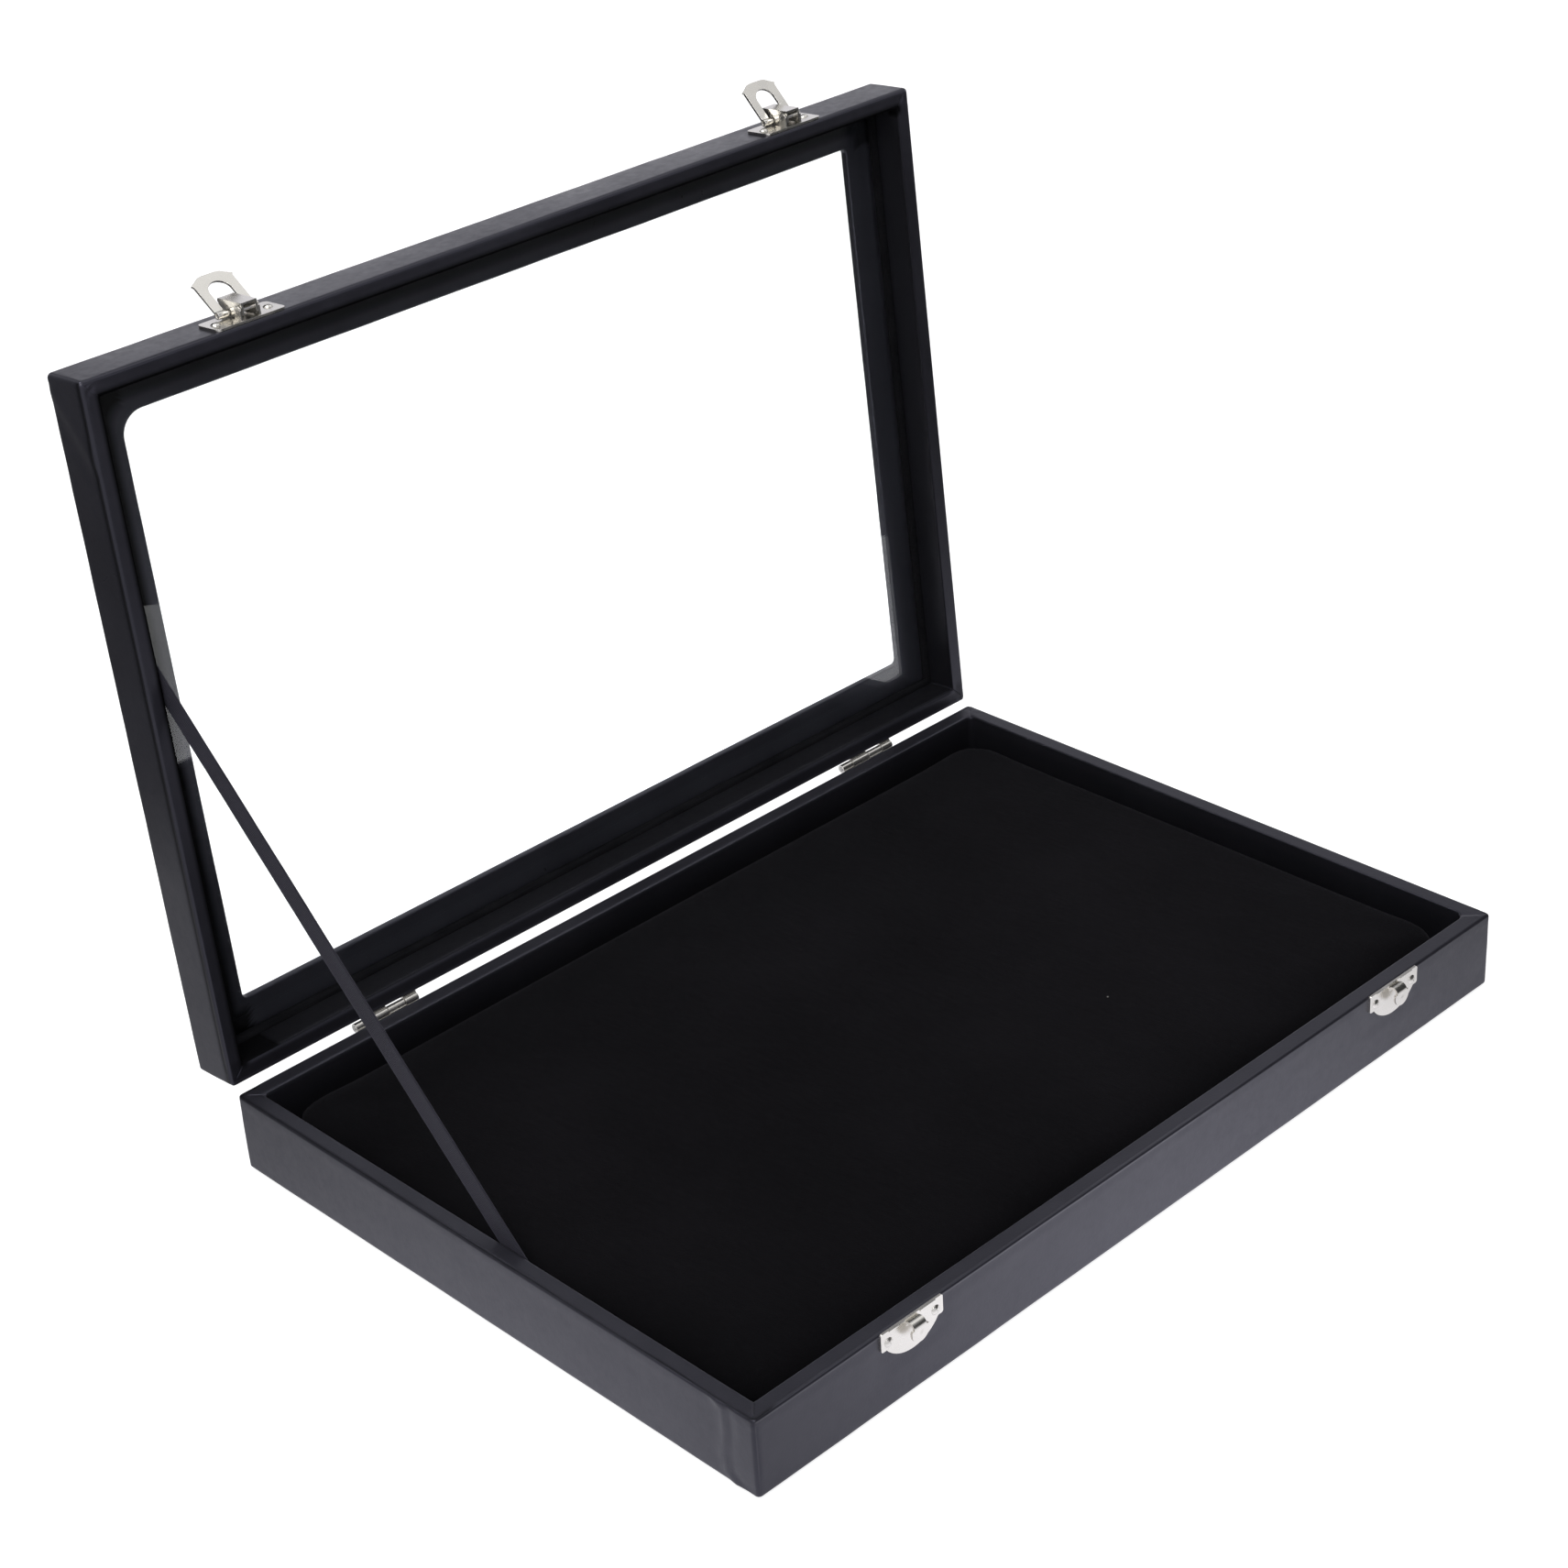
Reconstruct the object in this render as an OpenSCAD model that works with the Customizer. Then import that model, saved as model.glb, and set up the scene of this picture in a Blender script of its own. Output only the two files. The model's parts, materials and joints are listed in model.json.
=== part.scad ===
// Medal display case: covered base with a velvet pad, glazed hinged lid, two toggle clasps, one ribbon stay.
// Millimetres, +Z up. Origin at the middle of the underside, hinges toward +Y. The lid stands open.

/* [Case] */
// Outside width
case_w = 350; // [280:1:440]
// Outside depth, front to hinge side
case_d = 240; // [180:1:320]
// Height of the base, underside to rim
base_h = 28.4; // [26:0.1:40]
// Height of the lid, rim to top
lid_h = 18.5; // [18:0.1:26]
// Gap between the two rims when closed
rim_gap = 0.3; // [0.2:0.05:0.6]
// Angle at which the lid stands open
lid_open = 94.4; // [85:0.1:100]
// Radius of the upright outer corners
corner_r = 1.4; // [0.8:0.1:2]

/* [Boards and covering] */
// Thickness of the wall boards and lid rails
board_t = 5; // [4:0.1:7]
// Thickness of the leatherette covering
cover_t = 0.6; // [0.4:0.05:1]
// Thickness of the bottom panel
bottom_t = 3; // [2:0.1:4]
// Thickness of the lid's window panel
panel_t = 2; // [1.5:0.1:3]
// Thickness of the sheet under the base
underlay_t = 0.5; // [0.3:0.05:1]
// Distance of that sheet from the outer edges
underlay_inset = 3; // [2:0.5:10]

/* [Window] */
// Width of the frame at the window's left and right
window_side = 19.5; // [16:0.5:40]
// Width of the frame at the window's front and rear
window_end = 18.9; // [16:0.1:40]
// Radius of the window's front left corner, the one that is cut round
window_r = 8; // [4:0.5:20]
// Radius of the window's other three corners
window_sharp_r = 2; // [1:0.5:20]
// Thickness of the glass
glass_t = 1.6; // [1.2:0.1:2.2]
// Clearance between the glass and the walls
glass_gap = 0.3; // [0.2:0.05:0.6]
// Radius of the quarter-round beads that hold the glass
bead_r = 2.2; // [1.5:0.1:2.4]

/* [Pad] */
// Gap between the pad and the walls
pad_gap = 1.8; // [1.6:0.1:4]
// Depth of the pad's upper edge below the rim
pad_drop = 4.3; // [3:0.1:8]
// Radius of the pad's soft upper edge
pad_roll = 6.4; // [5:0.1:8]
// Radius of the pad's plan corners
pad_r = 15; // [14:0.5:25]
// Rise of the pad's middle
pad_crown = 0.5; // [0.2:0.1:1]
// How far the pad's lower edge draws in
pad_draw = 0.8; // [0.4:0.1:1.5]
// Distance of the foam and board from the pad's sides
core_inset = 6; // [6:0.5:10]
// Depth of the foam below the pad's top
core_drop = 2.5; // [2.5:0.1:4]
// Thickness of the pad's backing board
pad_board_t = 2; // [1:0.1:3]

/* [Placing of fittings] */
// Left clasp, catch and hinge, from the left edge
fit_left = 62.7; // [45:0.1:100]
// Right clasp, catch and hinge, from the right edge
fit_right = 56; // [45:0.1:100]
// Thickness of the stamped plates
plate_t = 0.8; // [0.6:0.05:1]
// Half width of the clasp and catch plates
plate_hw = 12.9; // [12.4:0.1:15]
// Radius of the dome nails' shanks
shank_r = 0.6; // [0.5:0.05:0.7]
// Clearance around the shanks
shank_gap = 0.02; // [0.01:0.01:0.1]
// Radius of the dome nails' heads
head_r = 1.7; // [1.4:0.05:1.9]
// Height of the dome nails' heads
head_h = 0.8; // [0.5:0.05:1]
// Distance of the nails from the middle of a plate
nail_u = 9.8; // [9.6:0.1:10.2]

/* [Hinges] */
// Length of a hinge
hinge_l = 26.6; // [22:0.1:36]
// Height of a hinge leaf
leaf_h = 10.5; // [9:0.1:12]
// Radius of the knuckles
barrel_r = 1.55; // [1.4:0.05:1.8]
// Radius of the hinge pins
hinge_pin_r = 0.75; // [0.6:0.05:0.85]
// Running clearance around the hinge pins
hinge_pin_gap = 0.05; // [0.02:0.01:0.1]
// Gap between knuckles, and between a knuckle and the other leaf
knuckle_gap = 0.3; // [0.2:0.05:0.5]
// Gap between the knuckles and the case
barrel_off = 0.5; // [0.4:0.05:0.7]
// Distance of the leaf nails from the middle of a hinge
leaf_nail_u = 8; // [6:0.1:9]
// Distance of the leaf nails from the hinge axis
leaf_nail_d = 6; // [5:0.1:7]

/* [Catches] */
// Rise of the catch plate's top above the rim, in front of the gap
catch_rise = 0.2; // [-0.3:0.05:0.2]
// Depth of the catch plate's ends below the rim
catch_end = 6.2; // [6:0.1:7]
// Radius of the catch plate's belly
belly_r = 13.4; // [13:0.1:14]
// Depth of the belly's lowest point below the rim
belly_low = 11.6; // [11:0.1:12.5]
// Inside radius of the hook's bend
hook_r = 1.3; // [1.2:0.05:1.4]
// Width of the hook
hook_w = 5; // [4:0.1:5.2]
// Depth of the hook's bend centre below the rim
hook_d = 2.6; // [2.5:0.1:3]
// Radius of the hook's disc
disc_r = 3.6; // [3:0.05:3.7]
// Depth of the disc's centre and of the nails below the rim
disc_d = 3.8; // [3.7:0.1:4.2]
// Height and depth of the stiffening lip on the plate's top edge
lip = 0.4; // [0.3:0.05:0.5]

/* [Clasps] */
// Clasp plate's near edge, from the lid rim
clasp_d0 = 0.6; // [0.4:0.1:0.8]
// Clasp plate's far edge, from the lid rim
clasp_d1 = 11.8; // [11:0.1:13]
// Corner radius of the plates
plate_r = 1.6; // [0.8:0.1:2]
// Clasp nails, from the lid rim
clasp_nail_d = 6; // [5.5:0.1:6.5]
// Lever pivot, from the lid rim
pivot_d = 2.6; // [2.6:0.1:3]
// Lever pivot, out from the lid's face
pivot_h = 3.7; // [3.6:0.1:4]
// Radius of the lever's pivot pin
pivot_r = 0.7; // [0.6:0.05:0.75]
// Running clearance around the clasp pins
clasp_pin_gap = 0.05; // [0.02:0.01:0.1]
// Half width of the lever
lever_hw = 2.95; // [2.8:0.05:3]
// Sheet thickness of the lever
lever_t = 0.7; // [0.5:0.05:0.8]
// Length of the lever past its pivot
lever_l = 10.4; // [9.5:0.1:11]
// Rise of the lever's top over the pivot
lever_rise = 2.5; // [2.3:0.05:2.5]
// Lever's square front end, from the lid rim
lever_front = 0.9; // [0.9:0.05:1.2]
// Lower corner of the lever's front end, out from the lid's face
lever_chin = 2.3; // [2.2:0.05:2.6]
// Lower edge of the lever's sides, out from the lid's face
lever_low = 1.15; // [1.15:0.05:1.3]
// Radius of the lever's thumb bead
thumb_r = 0.8; // [0.6:0.05:0.9]
// Gap between the lever and the plate's ears
ear_gap = 0.2; // [0.15:0.05:0.3]
// Thickness of the ears
ear_t = 0.6; // [0.5:0.05:0.6]
// Radius of the ears
ear_r = 1.6; // [1.4:0.05:1.8]
// Loop pin, from the lid rim
loop_pin_d = 8.6; // [8.4:0.1:9]
// Loop pin, out from the lid's face
loop_pin_h = 2.3; // [2.3:0.05:2.4]
// Radius of the loop pin
loop_pin_r = 0.65; // [0.5:0.05:0.65]
// Half length of the loop pin
loop_pin_hl = 6.9; // [6:0.1:7.1]
// Rise of the slot above the loop pin
slot_rise = 1.6; // [1:0.1:1.8]
// Thickness of the loop
loop_t = 0.9; // [0.7:0.05:1]
// Half width of the loop
loop_hw = 7.2; // [6.8:0.1:7.4]
// Half width of the loop's opening
loop_hole_hw = 3.95; // [3.95:0.05:4.1]
// End of the loop's opening, from its pin
loop_hole_v = 12; // [11.8:0.1:12.2]
// Loop's ears, from its pin
loop_ear_v = 13; // [12.8:0.1:13.4]
// Loop's crown, from its pin
loop_crown_v = 15.4; // [15.2:0.1:16.2]
// How far the loop's ears stand out at the sides
loop_ear = 0.5; // [0.2:0.05:0.6]
// Radius of the loop's rolled ends
loop_roll_r = 1.2; // [1.1:0.05:1.2]
// Tilt of the left loop above the lid's face
loop_tilt_left = 37; // [15:1:120]
// Tilt of the right loop above the lid's face
loop_tilt_right = 49; // [15:1:120]

/* [Ribbon stay] */
// Width of the ribbon
strap_w = 8.8; // [6:0.1:9]
// Thickness of the ribbon
strap_t = 0.7; // [0.4:0.05:0.8]
// Gap between the ribbon and the wall
strap_gap = 0.1; // [0.05:0.05:0.2]
// Length of ribbon past each tack
strap_tail = 2; // [2:0.1:2.2]
// Base tack, forward of the middle
strap_base_y = 20.4; // [10:0.1:40]
// Base tack, below the rim
strap_base_d = 10.4; // [9:0.1:12]
// Lid tack, forward of the middle when closed
strap_lid_y = 25; // [20:0.1:50]
// Lid tack, from the lid rim
strap_lid_d = 6.2; // [5.8:0.1:6.3]
// Radius of the tack shanks
tack_r = 0.7; // [0.5:0.05:0.8]
// Clearance between the tacks and the ribbon
tack_gap = 0.4; // [0.3:0.05:0.5]
// Radius of the tack heads
tack_head_r = 2.2; // [1.8:0.05:2.4]
// Height of the tack heads
tack_head_h = 0.5; // [0.3:0.05:0.6]
// Gap between the lid tack's head and the ribbon
tack_lift = 0.05; // [0.02:0.01:0.2]

/* [Hidden] */
$fn = 48;
eps = 0.05;
big = 1000;
board_grip = 0.6;
wall_t = board_t + 2 * cover_t;
half_w = case_w / 2;
half_d = case_d / 2;
in_x = half_w - wall_t;
in_y = half_d - wall_t;
board_x = half_w - cover_t;
board_y = half_d - cover_t;
board_in_x = board_x - board_t;
board_in_y = board_y - board_t;
base_z0 = underlay_t;
floor_z = base_z0 + bottom_t;
wall_z0 = base_z0 + cover_t;
wall_z1 = base_h - cover_t;
lid_z0 = base_h + rim_gap;
lid_z1 = lid_z0 + lid_h;
rail_z0 = lid_z0 + cover_t;
panel_z1 = lid_z1 - cover_t;
panel_z0 = panel_z1 - panel_t;
glass_z1 = panel_z0 - cover_t;
glass_z0 = glass_z1 - glass_t;
win_x = half_w - window_side;
win_y = half_d - window_end;
hinge_y = half_d + barrel_r + barrel_off;
hinge_z = base_h + rim_gap / 2;
hinge_bore_r = hinge_pin_r + hinge_pin_gap;
leaf_cut = barrel_r + knuckle_gap;
knuckle_ends = [0, 0.205, 0.52, 0.79, 1];
fit_x = [-half_w + fit_left, half_w - fit_right];
nail_l = plate_t + cover_t + board_grip * board_t;
tack_l = strap_t + strap_gap + cover_t + board_grip * board_t;
hook_out = hook_r + plate_t;
tongue_h = hook_out + hook_r;
pivot_bore_r = pivot_r + clasp_pin_gap;
loop_bore_r = loop_pin_r + clasp_pin_gap;
ear_u = lever_hw + ear_gap;
lever_top = pivot_h + lever_rise;
lever_end = pivot_d + lever_l;
loop_roll_u = lever_hw + 2 * ear_gap;
loop_roll_l = loop_hw - loop_roll_u;
strap_x = -in_x + strap_gap;
lid_rel_y = -strap_lid_y - hinge_y;
lid_rel_z = lid_z0 + strap_lid_d - hinge_z;
strap_y0 = -strap_base_y;
strap_z0 = base_h - strap_base_d;
strap_y1 = hinge_y + lid_rel_y * cos(lid_open) + lid_rel_z * sin(lid_open);
strap_z1 = hinge_z - lid_rel_y * sin(lid_open) + lid_rel_z * cos(lid_open);
strap_len = norm([strap_y1 - strap_y0, strap_z1 - strap_z0]);
strap_ang = atan2(strap_z1 - strap_z0, strap_y1 - strap_y0);
pad_x = in_x - pad_gap;
pad_y = in_y - pad_gap;
pad_z1 = base_h - pad_drop;
core_x = pad_x - core_inset;
core_y = pad_y - core_inset;
core_z1 = pad_z1 - core_drop;
foam_z0 = floor_z + pad_board_t;
corner_steps = 6;
roll_steps = 6;
ring_n = 4 * (corner_steps + 1);
roll_z = pad_z1 - pad_roll;
side_rings = [
    [pad_draw, floor_z],
    [pad_draw * 0.45, floor_z + (roll_z - floor_z) * 0.3],
    [pad_draw * 0.1, floor_z + (roll_z - floor_z) * 0.65],
    [0, roll_z]
];
roll_rings = [for (j = [1:roll_steps])
    [pad_roll * (1 - cos(90 * j / roll_steps)), roll_z + pad_roll * sin(90 * j / roll_steps)]];
crown_scales = [0.92, 0.75, 0.5, 0.25];

// Rounded rectangle, centred.
module rounded_rect(hx, hy, r) {
    square([2 * hx, 2 * (hy - r)], center = true);
    square([2 * (hx - r), 2 * hy], center = true);
    for (sx = [-1, 1])
        for (sy = [-1, 1])
            translate([sx * (hx - r), sy * (hy - r)])
                circle(r = r);
}

// Upright block with rounded corners, centred on the axis.
module rounded_block(hx, hy, z0, z1, r) {
    translate([0, 0, z0])
        linear_extrude(z1 - z0)
            rounded_rect(hx, hy, r);
}

// Block centred on the axis.
module block(hx, hy, z0, z1) {
    translate([-hx, -hy, z0])
        cube([2 * hx, 2 * hy, z1 - z0]);
}

// Flat stamping on a front face, standing outward.
module front_sheet(t) {
    rotate([90, 0, 0])
        linear_extrude(t)
            children();
}

// Profile drawn in Y and Z, carried along X.
module across(x0, x1) {
    translate([x0, 0, 0])
        rotate([90, 0, 90])
            linear_extrude(x1 - x0)
                children();
}

// Rod along X.
module rod(x0, x1, r) {
    translate([x0, 0, 0])
        rotate([0, 90, 0])
            cylinder(r = r, h = x1 - x0);
}

// Dome nail along Z: head above the origin, shank below it.
module nail(hr, hh, sr, sl) {
    dome_r = (hr * hr + hh * hh) / (2 * hh);
    intersection() {
        translate([0, 0, hh - dome_r])
            sphere(r = dome_r);
        cylinder(r = hr, h = hh);
    }
    translate([0, 0, -sl])
        cylinder(r = sr, h = sl + eps);
}

// Hole for a nail's shank, along Z below the origin.
module nail_hole(sr, sl) {
    translate([0, 0, -sl])
        cylinder(r = sr + shank_gap, h = sl + eps);
}

// Turns the closed lid to its open place.
module lid_pose() {
    translate([0, hinge_y, hinge_z])
        rotate([-lid_open, 0, 0])
            translate([0, -hinge_y, -hinge_z])
                children();
}

// Places at which the nails stand, head outward.
module at_catch_nails() {
    for (x = fit_x)
        for (s = [-1, 1])
            translate([x + s * nail_u, -half_d - plate_t, base_h - disc_d])
                rotate([90, 0, 0])
                    children();
}

module at_clasp_nails() {
    for (x = fit_x)
        for (s = [-1, 1])
            translate([x + s * nail_u, -half_d - plate_t, lid_z0 + clasp_nail_d])
                rotate([90, 0, 0])
                    children();
}

module at_leaf_nails(z) {
    for (x = fit_x)
        for (s = [-1, 1])
            translate([x + s * leaf_nail_u, half_d + plate_t, z])
                rotate([-90, 0, 0])
                    children();
}

module at_base_leaf_nails() {
    at_leaf_nails(hinge_z - leaf_nail_d)
        children();
}

module at_lid_leaf_nails() {
    at_leaf_nails(hinge_z + leaf_nail_d)
        children();
}

module at_base_tack() {
    translate([strap_x + strap_t, strap_y0, strap_z0])
        rotate([0, 90, 0])
            children();
}

module at_lid_tack() {
    translate([strap_x + strap_t + tack_lift, -strap_lid_y, lid_z0 + strap_lid_d])
        rotate([0, 90, 0])
            children();
}

module base_holes() {
    at_catch_nails()
        nail_hole(shank_r, nail_l);
    at_base_leaf_nails()
        nail_hole(shank_r, nail_l);
    at_base_tack()
        nail_hole(tack_r, tack_l);
}

module lid_holes() {
    at_clasp_nails()
        nail_hole(shank_r, nail_l);
    at_lid_leaf_nails()
        nail_hole(shank_r, nail_l);
    at_lid_tack()
        nail_hole(tack_r, tack_l + tack_lift);
}

// Base boards.
module base_front_wall() {
    color("burlywood")
        difference() {
            translate([-board_x, -board_y, wall_z0])
                cube([2 * board_x, board_t, wall_z1 - wall_z0]);
            base_holes();
        }
}

module base_rear_wall() {
    color("burlywood")
        difference() {
            translate([-board_x, board_in_y, wall_z0])
                cube([2 * board_x, board_t, wall_z1 - wall_z0]);
            base_holes();
        }
}

module base_left_wall() {
    color("burlywood")
        difference() {
            translate([-board_x, -board_in_y, wall_z0])
                cube([board_t, 2 * board_in_y, wall_z1 - wall_z0]);
            base_holes();
        }
}

module base_right_wall() {
    color("burlywood")
        translate([board_in_x, -board_in_y, wall_z0])
            cube([board_t, 2 * board_in_y, wall_z1 - wall_z0]);
}

module base_bottom_panel() {
    color("sienna")
        block(board_in_x, board_in_y, base_z0, floor_z);
}

module base_underlay() {
    color("dimgray")
        block(half_w - underlay_inset, half_d - underlay_inset, 0, base_z0);
}

// Covering over the base's walls: outside, rim, inside, and turned under.
module base_wrap() {
    color([0.15, 0.15, 0.16])
        difference() {
            rounded_block(half_w, half_d, base_z0, base_h, corner_r);
            block(in_x, in_y, floor_z, base_h + eps);
            block(board_in_x, board_in_y, base_z0 - eps, floor_z);
            difference() {
                block(board_x, board_y, wall_z0, wall_z1);
                block(board_in_x, board_in_y, wall_z0 - eps, wall_z1 + eps);
            }
            base_holes();
        }
}

// Pad.
module pad_board() {
    color("tan")
        block(core_x, core_y, floor_z, foam_z0);
}

module pad_foam() {
    color("gainsboro")
        block(core_x, core_y, foam_z0, core_z1);
}

function pad_corner(i) = floor(i / (corner_steps + 1));

function pad_angle(i) = 90 * (pad_corner(i) + (i % (corner_steps + 1)) / corner_steps);

function pad_sign_x(i) = pad_corner(i) == 0 || pad_corner(i) == 3 ? 1 : -1;

function pad_sign_y(i) = pad_corner(i) < 2 ? 1 : -1;

function pad_point(i, inset, z) = [
    pad_sign_x(i) * (pad_x - pad_r) + (pad_r - inset) * cos(pad_angle(i)),
    pad_sign_y(i) * (pad_y - pad_r) + (pad_r - inset) * sin(pad_angle(i)),
    z
];

function pad_top_point(i, s) = [
    s * pad_point(i, pad_roll, 0)[0],
    s * pad_point(i, pad_roll, 0)[1],
    pad_z1 + pad_crown * (1 - s * s)
];

module pad_form() {
    rings = concat(side_rings, roll_rings);
    last = len(rings) + len(crown_scales) - 1;
    points = concat(
        [for (ring = rings) for (i = [0:ring_n - 1]) pad_point(i, ring[0], ring[1])],
        [for (s = crown_scales) for (i = [0:ring_n - 1]) pad_top_point(i, s)],
        [[0, 0, pad_z1 + pad_crown]]
    );
    lower = [for (r = [0:last - 1]) for (i = [0:ring_n - 1])
        [r * ring_n + i, (r + 1) * ring_n + i, (r + 1) * ring_n + (i + 1) % ring_n]];
    upper = [for (r = [0:last - 1]) for (i = [0:ring_n - 1])
        [r * ring_n + i, (r + 1) * ring_n + (i + 1) % ring_n, r * ring_n + (i + 1) % ring_n]];
    under = [[for (i = [0:ring_n - 1]) i]];
    middle = [for (i = [0:ring_n - 1])
        [(last + 1) * ring_n, last * ring_n + (i + 1) % ring_n, last * ring_n + i]];
    polyhedron(points = points, faces = concat(lower, upper, under, middle));
}

// Velvet cover drawn over the foam and its board.
module pad_cover() {
    color([0.08, 0.08, 0.09])
        difference() {
            pad_form();
            block(core_x, core_y, floor_z - eps, core_z1);
        }
}

// Ribbon stay.
module strap() {
    color([0.2, 0.2, 0.22])
        translate([strap_x, strap_y0, strap_z0])
            rotate([strap_ang, 0, 0])
                difference() {
                    translate([0, -strap_tail, -strap_w / 2])
                        cube([strap_t, strap_len + 2 * strap_tail, strap_w]);
                    rod(-eps, strap_t + eps, tack_r + tack_gap);
                    translate([0, strap_len, 0])
                        rod(-eps, strap_t + eps, tack_r + tack_gap);
                }
}

module strap_base_tack() {
    color("dimgray")
        at_base_tack()
            nail(tack_head_r, tack_head_h, tack_r, tack_l);
}

module strap_lid_tack() {
    color("dimgray")
        lid_pose()
            at_lid_tack()
                nail(tack_head_r, tack_head_h, tack_r, tack_l + tack_lift);
}

// Hinges.
function knuckle_at(k) = (knuckle_ends[k] - 0.5) * hinge_l;

module knuckle(x, k) {
    translate([x, hinge_y, hinge_z])
        rod(knuckle_at(k) + knuckle_gap / 2, knuckle_at(k + 1) - knuckle_gap / 2, barrel_r);
}

module knuckle_clear(x, k) {
    translate([x + knuckle_at(k) - knuckle_gap / 2, half_d - eps, hinge_z - leaf_cut])
        cube([knuckle_at(k + 1) - knuckle_at(k) + knuckle_gap, plate_t + 2 * eps, 2 * leaf_cut]);
}

module hinge_leaf(x, z, own, other) {
    difference() {
        union() {
            translate([x - hinge_l / 2, half_d, z])
                cube([hinge_l, plate_t, leaf_h]);
            for (k = own)
                knuckle(x, k);
        }
        for (k = other)
            knuckle_clear(x, k);
        translate([x, hinge_y, hinge_z])
            rod(-hinge_l, hinge_l, hinge_bore_r);
        at_base_leaf_nails()
            nail_hole(shank_r, nail_l);
        at_lid_leaf_nails()
            nail_hole(shank_r, nail_l);
    }
}

module hinge_base_leaf(x) {
    color("silver")
        hinge_leaf(x, hinge_z - leaf_h, [0, 2], [1, 3]);
}

module hinge_lid_leaf(x) {
    color("silver")
        lid_pose()
            hinge_leaf(x, hinge_z, [1, 3], [0, 2]);
}

module hinge_pin(x) {
    color("gray")
        translate([x, hinge_y, hinge_z])
            rod(-hinge_l / 2, hinge_l / 2, hinge_pin_r);
}

module hinge_base_leaf_left() {
    hinge_base_leaf(fit_x[0]);
}

module hinge_base_leaf_right() {
    hinge_base_leaf(fit_x[1]);
}

module hinge_lid_leaf_left() {
    hinge_lid_leaf(fit_x[0]);
}

module hinge_lid_leaf_right() {
    hinge_lid_leaf(fit_x[1]);
}

module hinge_pin_left() {
    hinge_pin(fit_x[0]);
}

module hinge_pin_right() {
    hinge_pin(fit_x[1]);
}

module hinge_base_nails() {
    color("silver")
        at_base_leaf_nails()
            nail(head_r, head_h, shank_r, nail_l);
}

module hinge_lid_nails() {
    color("silver")
        lid_pose()
            at_lid_leaf_nails()
                nail(head_r, head_h, shank_r, nail_l);
}

// Catches.
module catch_outline() {
    translate([0, (catch_rise - catch_end) / 2])
        rounded_rect(plate_hw, (catch_end + catch_rise) / 2, plate_r / 2);
    intersection() {
        translate([0, belly_r - belly_low])
            circle(r = belly_r);
        translate([-plate_hw, -2 * belly_r])
            square([2 * plate_hw, 2 * belly_r - catch_end + plate_r]);
    }
}

module hook_bend() {
    intersection() {
        difference() {
            circle(r = hook_out);
            circle(r = hook_r);
        }
        translate([-hook_out, 0])
            square([2 * hook_out, hook_out]);
    }
}

// Round end of the hook, level with its bend at the top.
module hook_tab() {
    intersection() {
        circle(r = disc_r);
        translate([-disc_r, -disc_r])
            square([2 * disc_r, disc_r + disc_d - hook_d]);
    }
}

module catch(x) {
    color("silver")
        difference() {
            translate([x, -half_d, base_h])
                union() {
                    front_sheet(plate_t)
                        catch_outline();
                    for (s = [-1, 1])
                        translate([s * plate_hw / 2 - plate_hw / 4, -plate_t - lip, catch_rise - lip])
                            cube([plate_hw / 2, lip + eps, lip]);
                    translate([0, -hook_out, -hook_d])
                        across(-hook_w / 2, hook_w / 2)
                            hook_bend();
                    translate([-hook_w / 2, -tongue_h - plate_t, -disc_d])
                        cube([hook_w, plate_t, disc_d - hook_d]);
                    translate([0, -tongue_h, -disc_d])
                        front_sheet(plate_t)
                            hook_tab();
                }
            at_catch_nails()
                nail_hole(shank_r, nail_l);
            translate([x, -half_d - tongue_h - plate_t - disc_r, base_h - disc_d])
                sphere(r = disc_r + plate_t / 4);
        }
}

module catch_left() {
    catch(fit_x[0]);
}

module catch_right() {
    catch(fit_x[1]);
}

module catch_nails() {
    color("silver")
        at_catch_nails()
            nail(head_r, head_h, shank_r, nail_l);
}

// Lid boards.
module lid_front_rail() {
    color("burlywood")
        lid_pose()
            difference() {
                translate([-board_x, -board_y, rail_z0])
                    cube([2 * board_x, board_t, panel_z0 - rail_z0]);
                lid_holes();
            }
}

module lid_rear_rail() {
    color("burlywood")
        lid_pose()
            difference() {
                translate([-board_x, board_in_y, rail_z0])
                    cube([2 * board_x, board_t, panel_z0 - rail_z0]);
                lid_holes();
            }
}

module lid_left_rail() {
    color("burlywood")
        lid_pose()
            difference() {
                translate([-board_x, -board_in_y, rail_z0])
                    cube([board_t, 2 * board_in_y, panel_z0 - rail_z0]);
                lid_holes();
            }
}

module lid_right_rail() {
    color("burlywood")
        lid_pose()
            translate([board_in_x, -board_in_y, rail_z0])
                cube([board_t, 2 * board_in_y, panel_z0 - rail_z0]);
}

// Corner of the window, cut off the square outline.
module window_corner(sx, sy, grow, r) {
    difference() {
        translate([sx * (win_x + grow), sy * (win_y + grow)])
            square(2 * r, center = true);
        translate([sx * (win_x + grow - r), sy * (win_y + grow - r)])
            circle(r = r);
    }
}

// Upright block that cuts the window, wider by grow on each side.
module window_block(grow, z0, z1) {
    translate([0, 0, z0])
        linear_extrude(z1 - z0)
            difference() {
                square([2 * (win_x + grow), 2 * (win_y + grow)], center = true);
                window_corner(-1, -1, grow, window_r + grow);
                window_corner(1, -1, grow, window_sharp_r + grow);
                window_corner(-1, 1, grow, window_sharp_r + grow);
                window_corner(1, 1, grow, window_sharp_r + grow);
            }
}

module lid_window_panel() {
    color("sienna")
        lid_pose()
            difference() {
                block(board_x, board_y, panel_z0, panel_z1);
                window_block(cover_t, panel_z0 - eps, panel_z1 + eps);
            }
}

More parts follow.
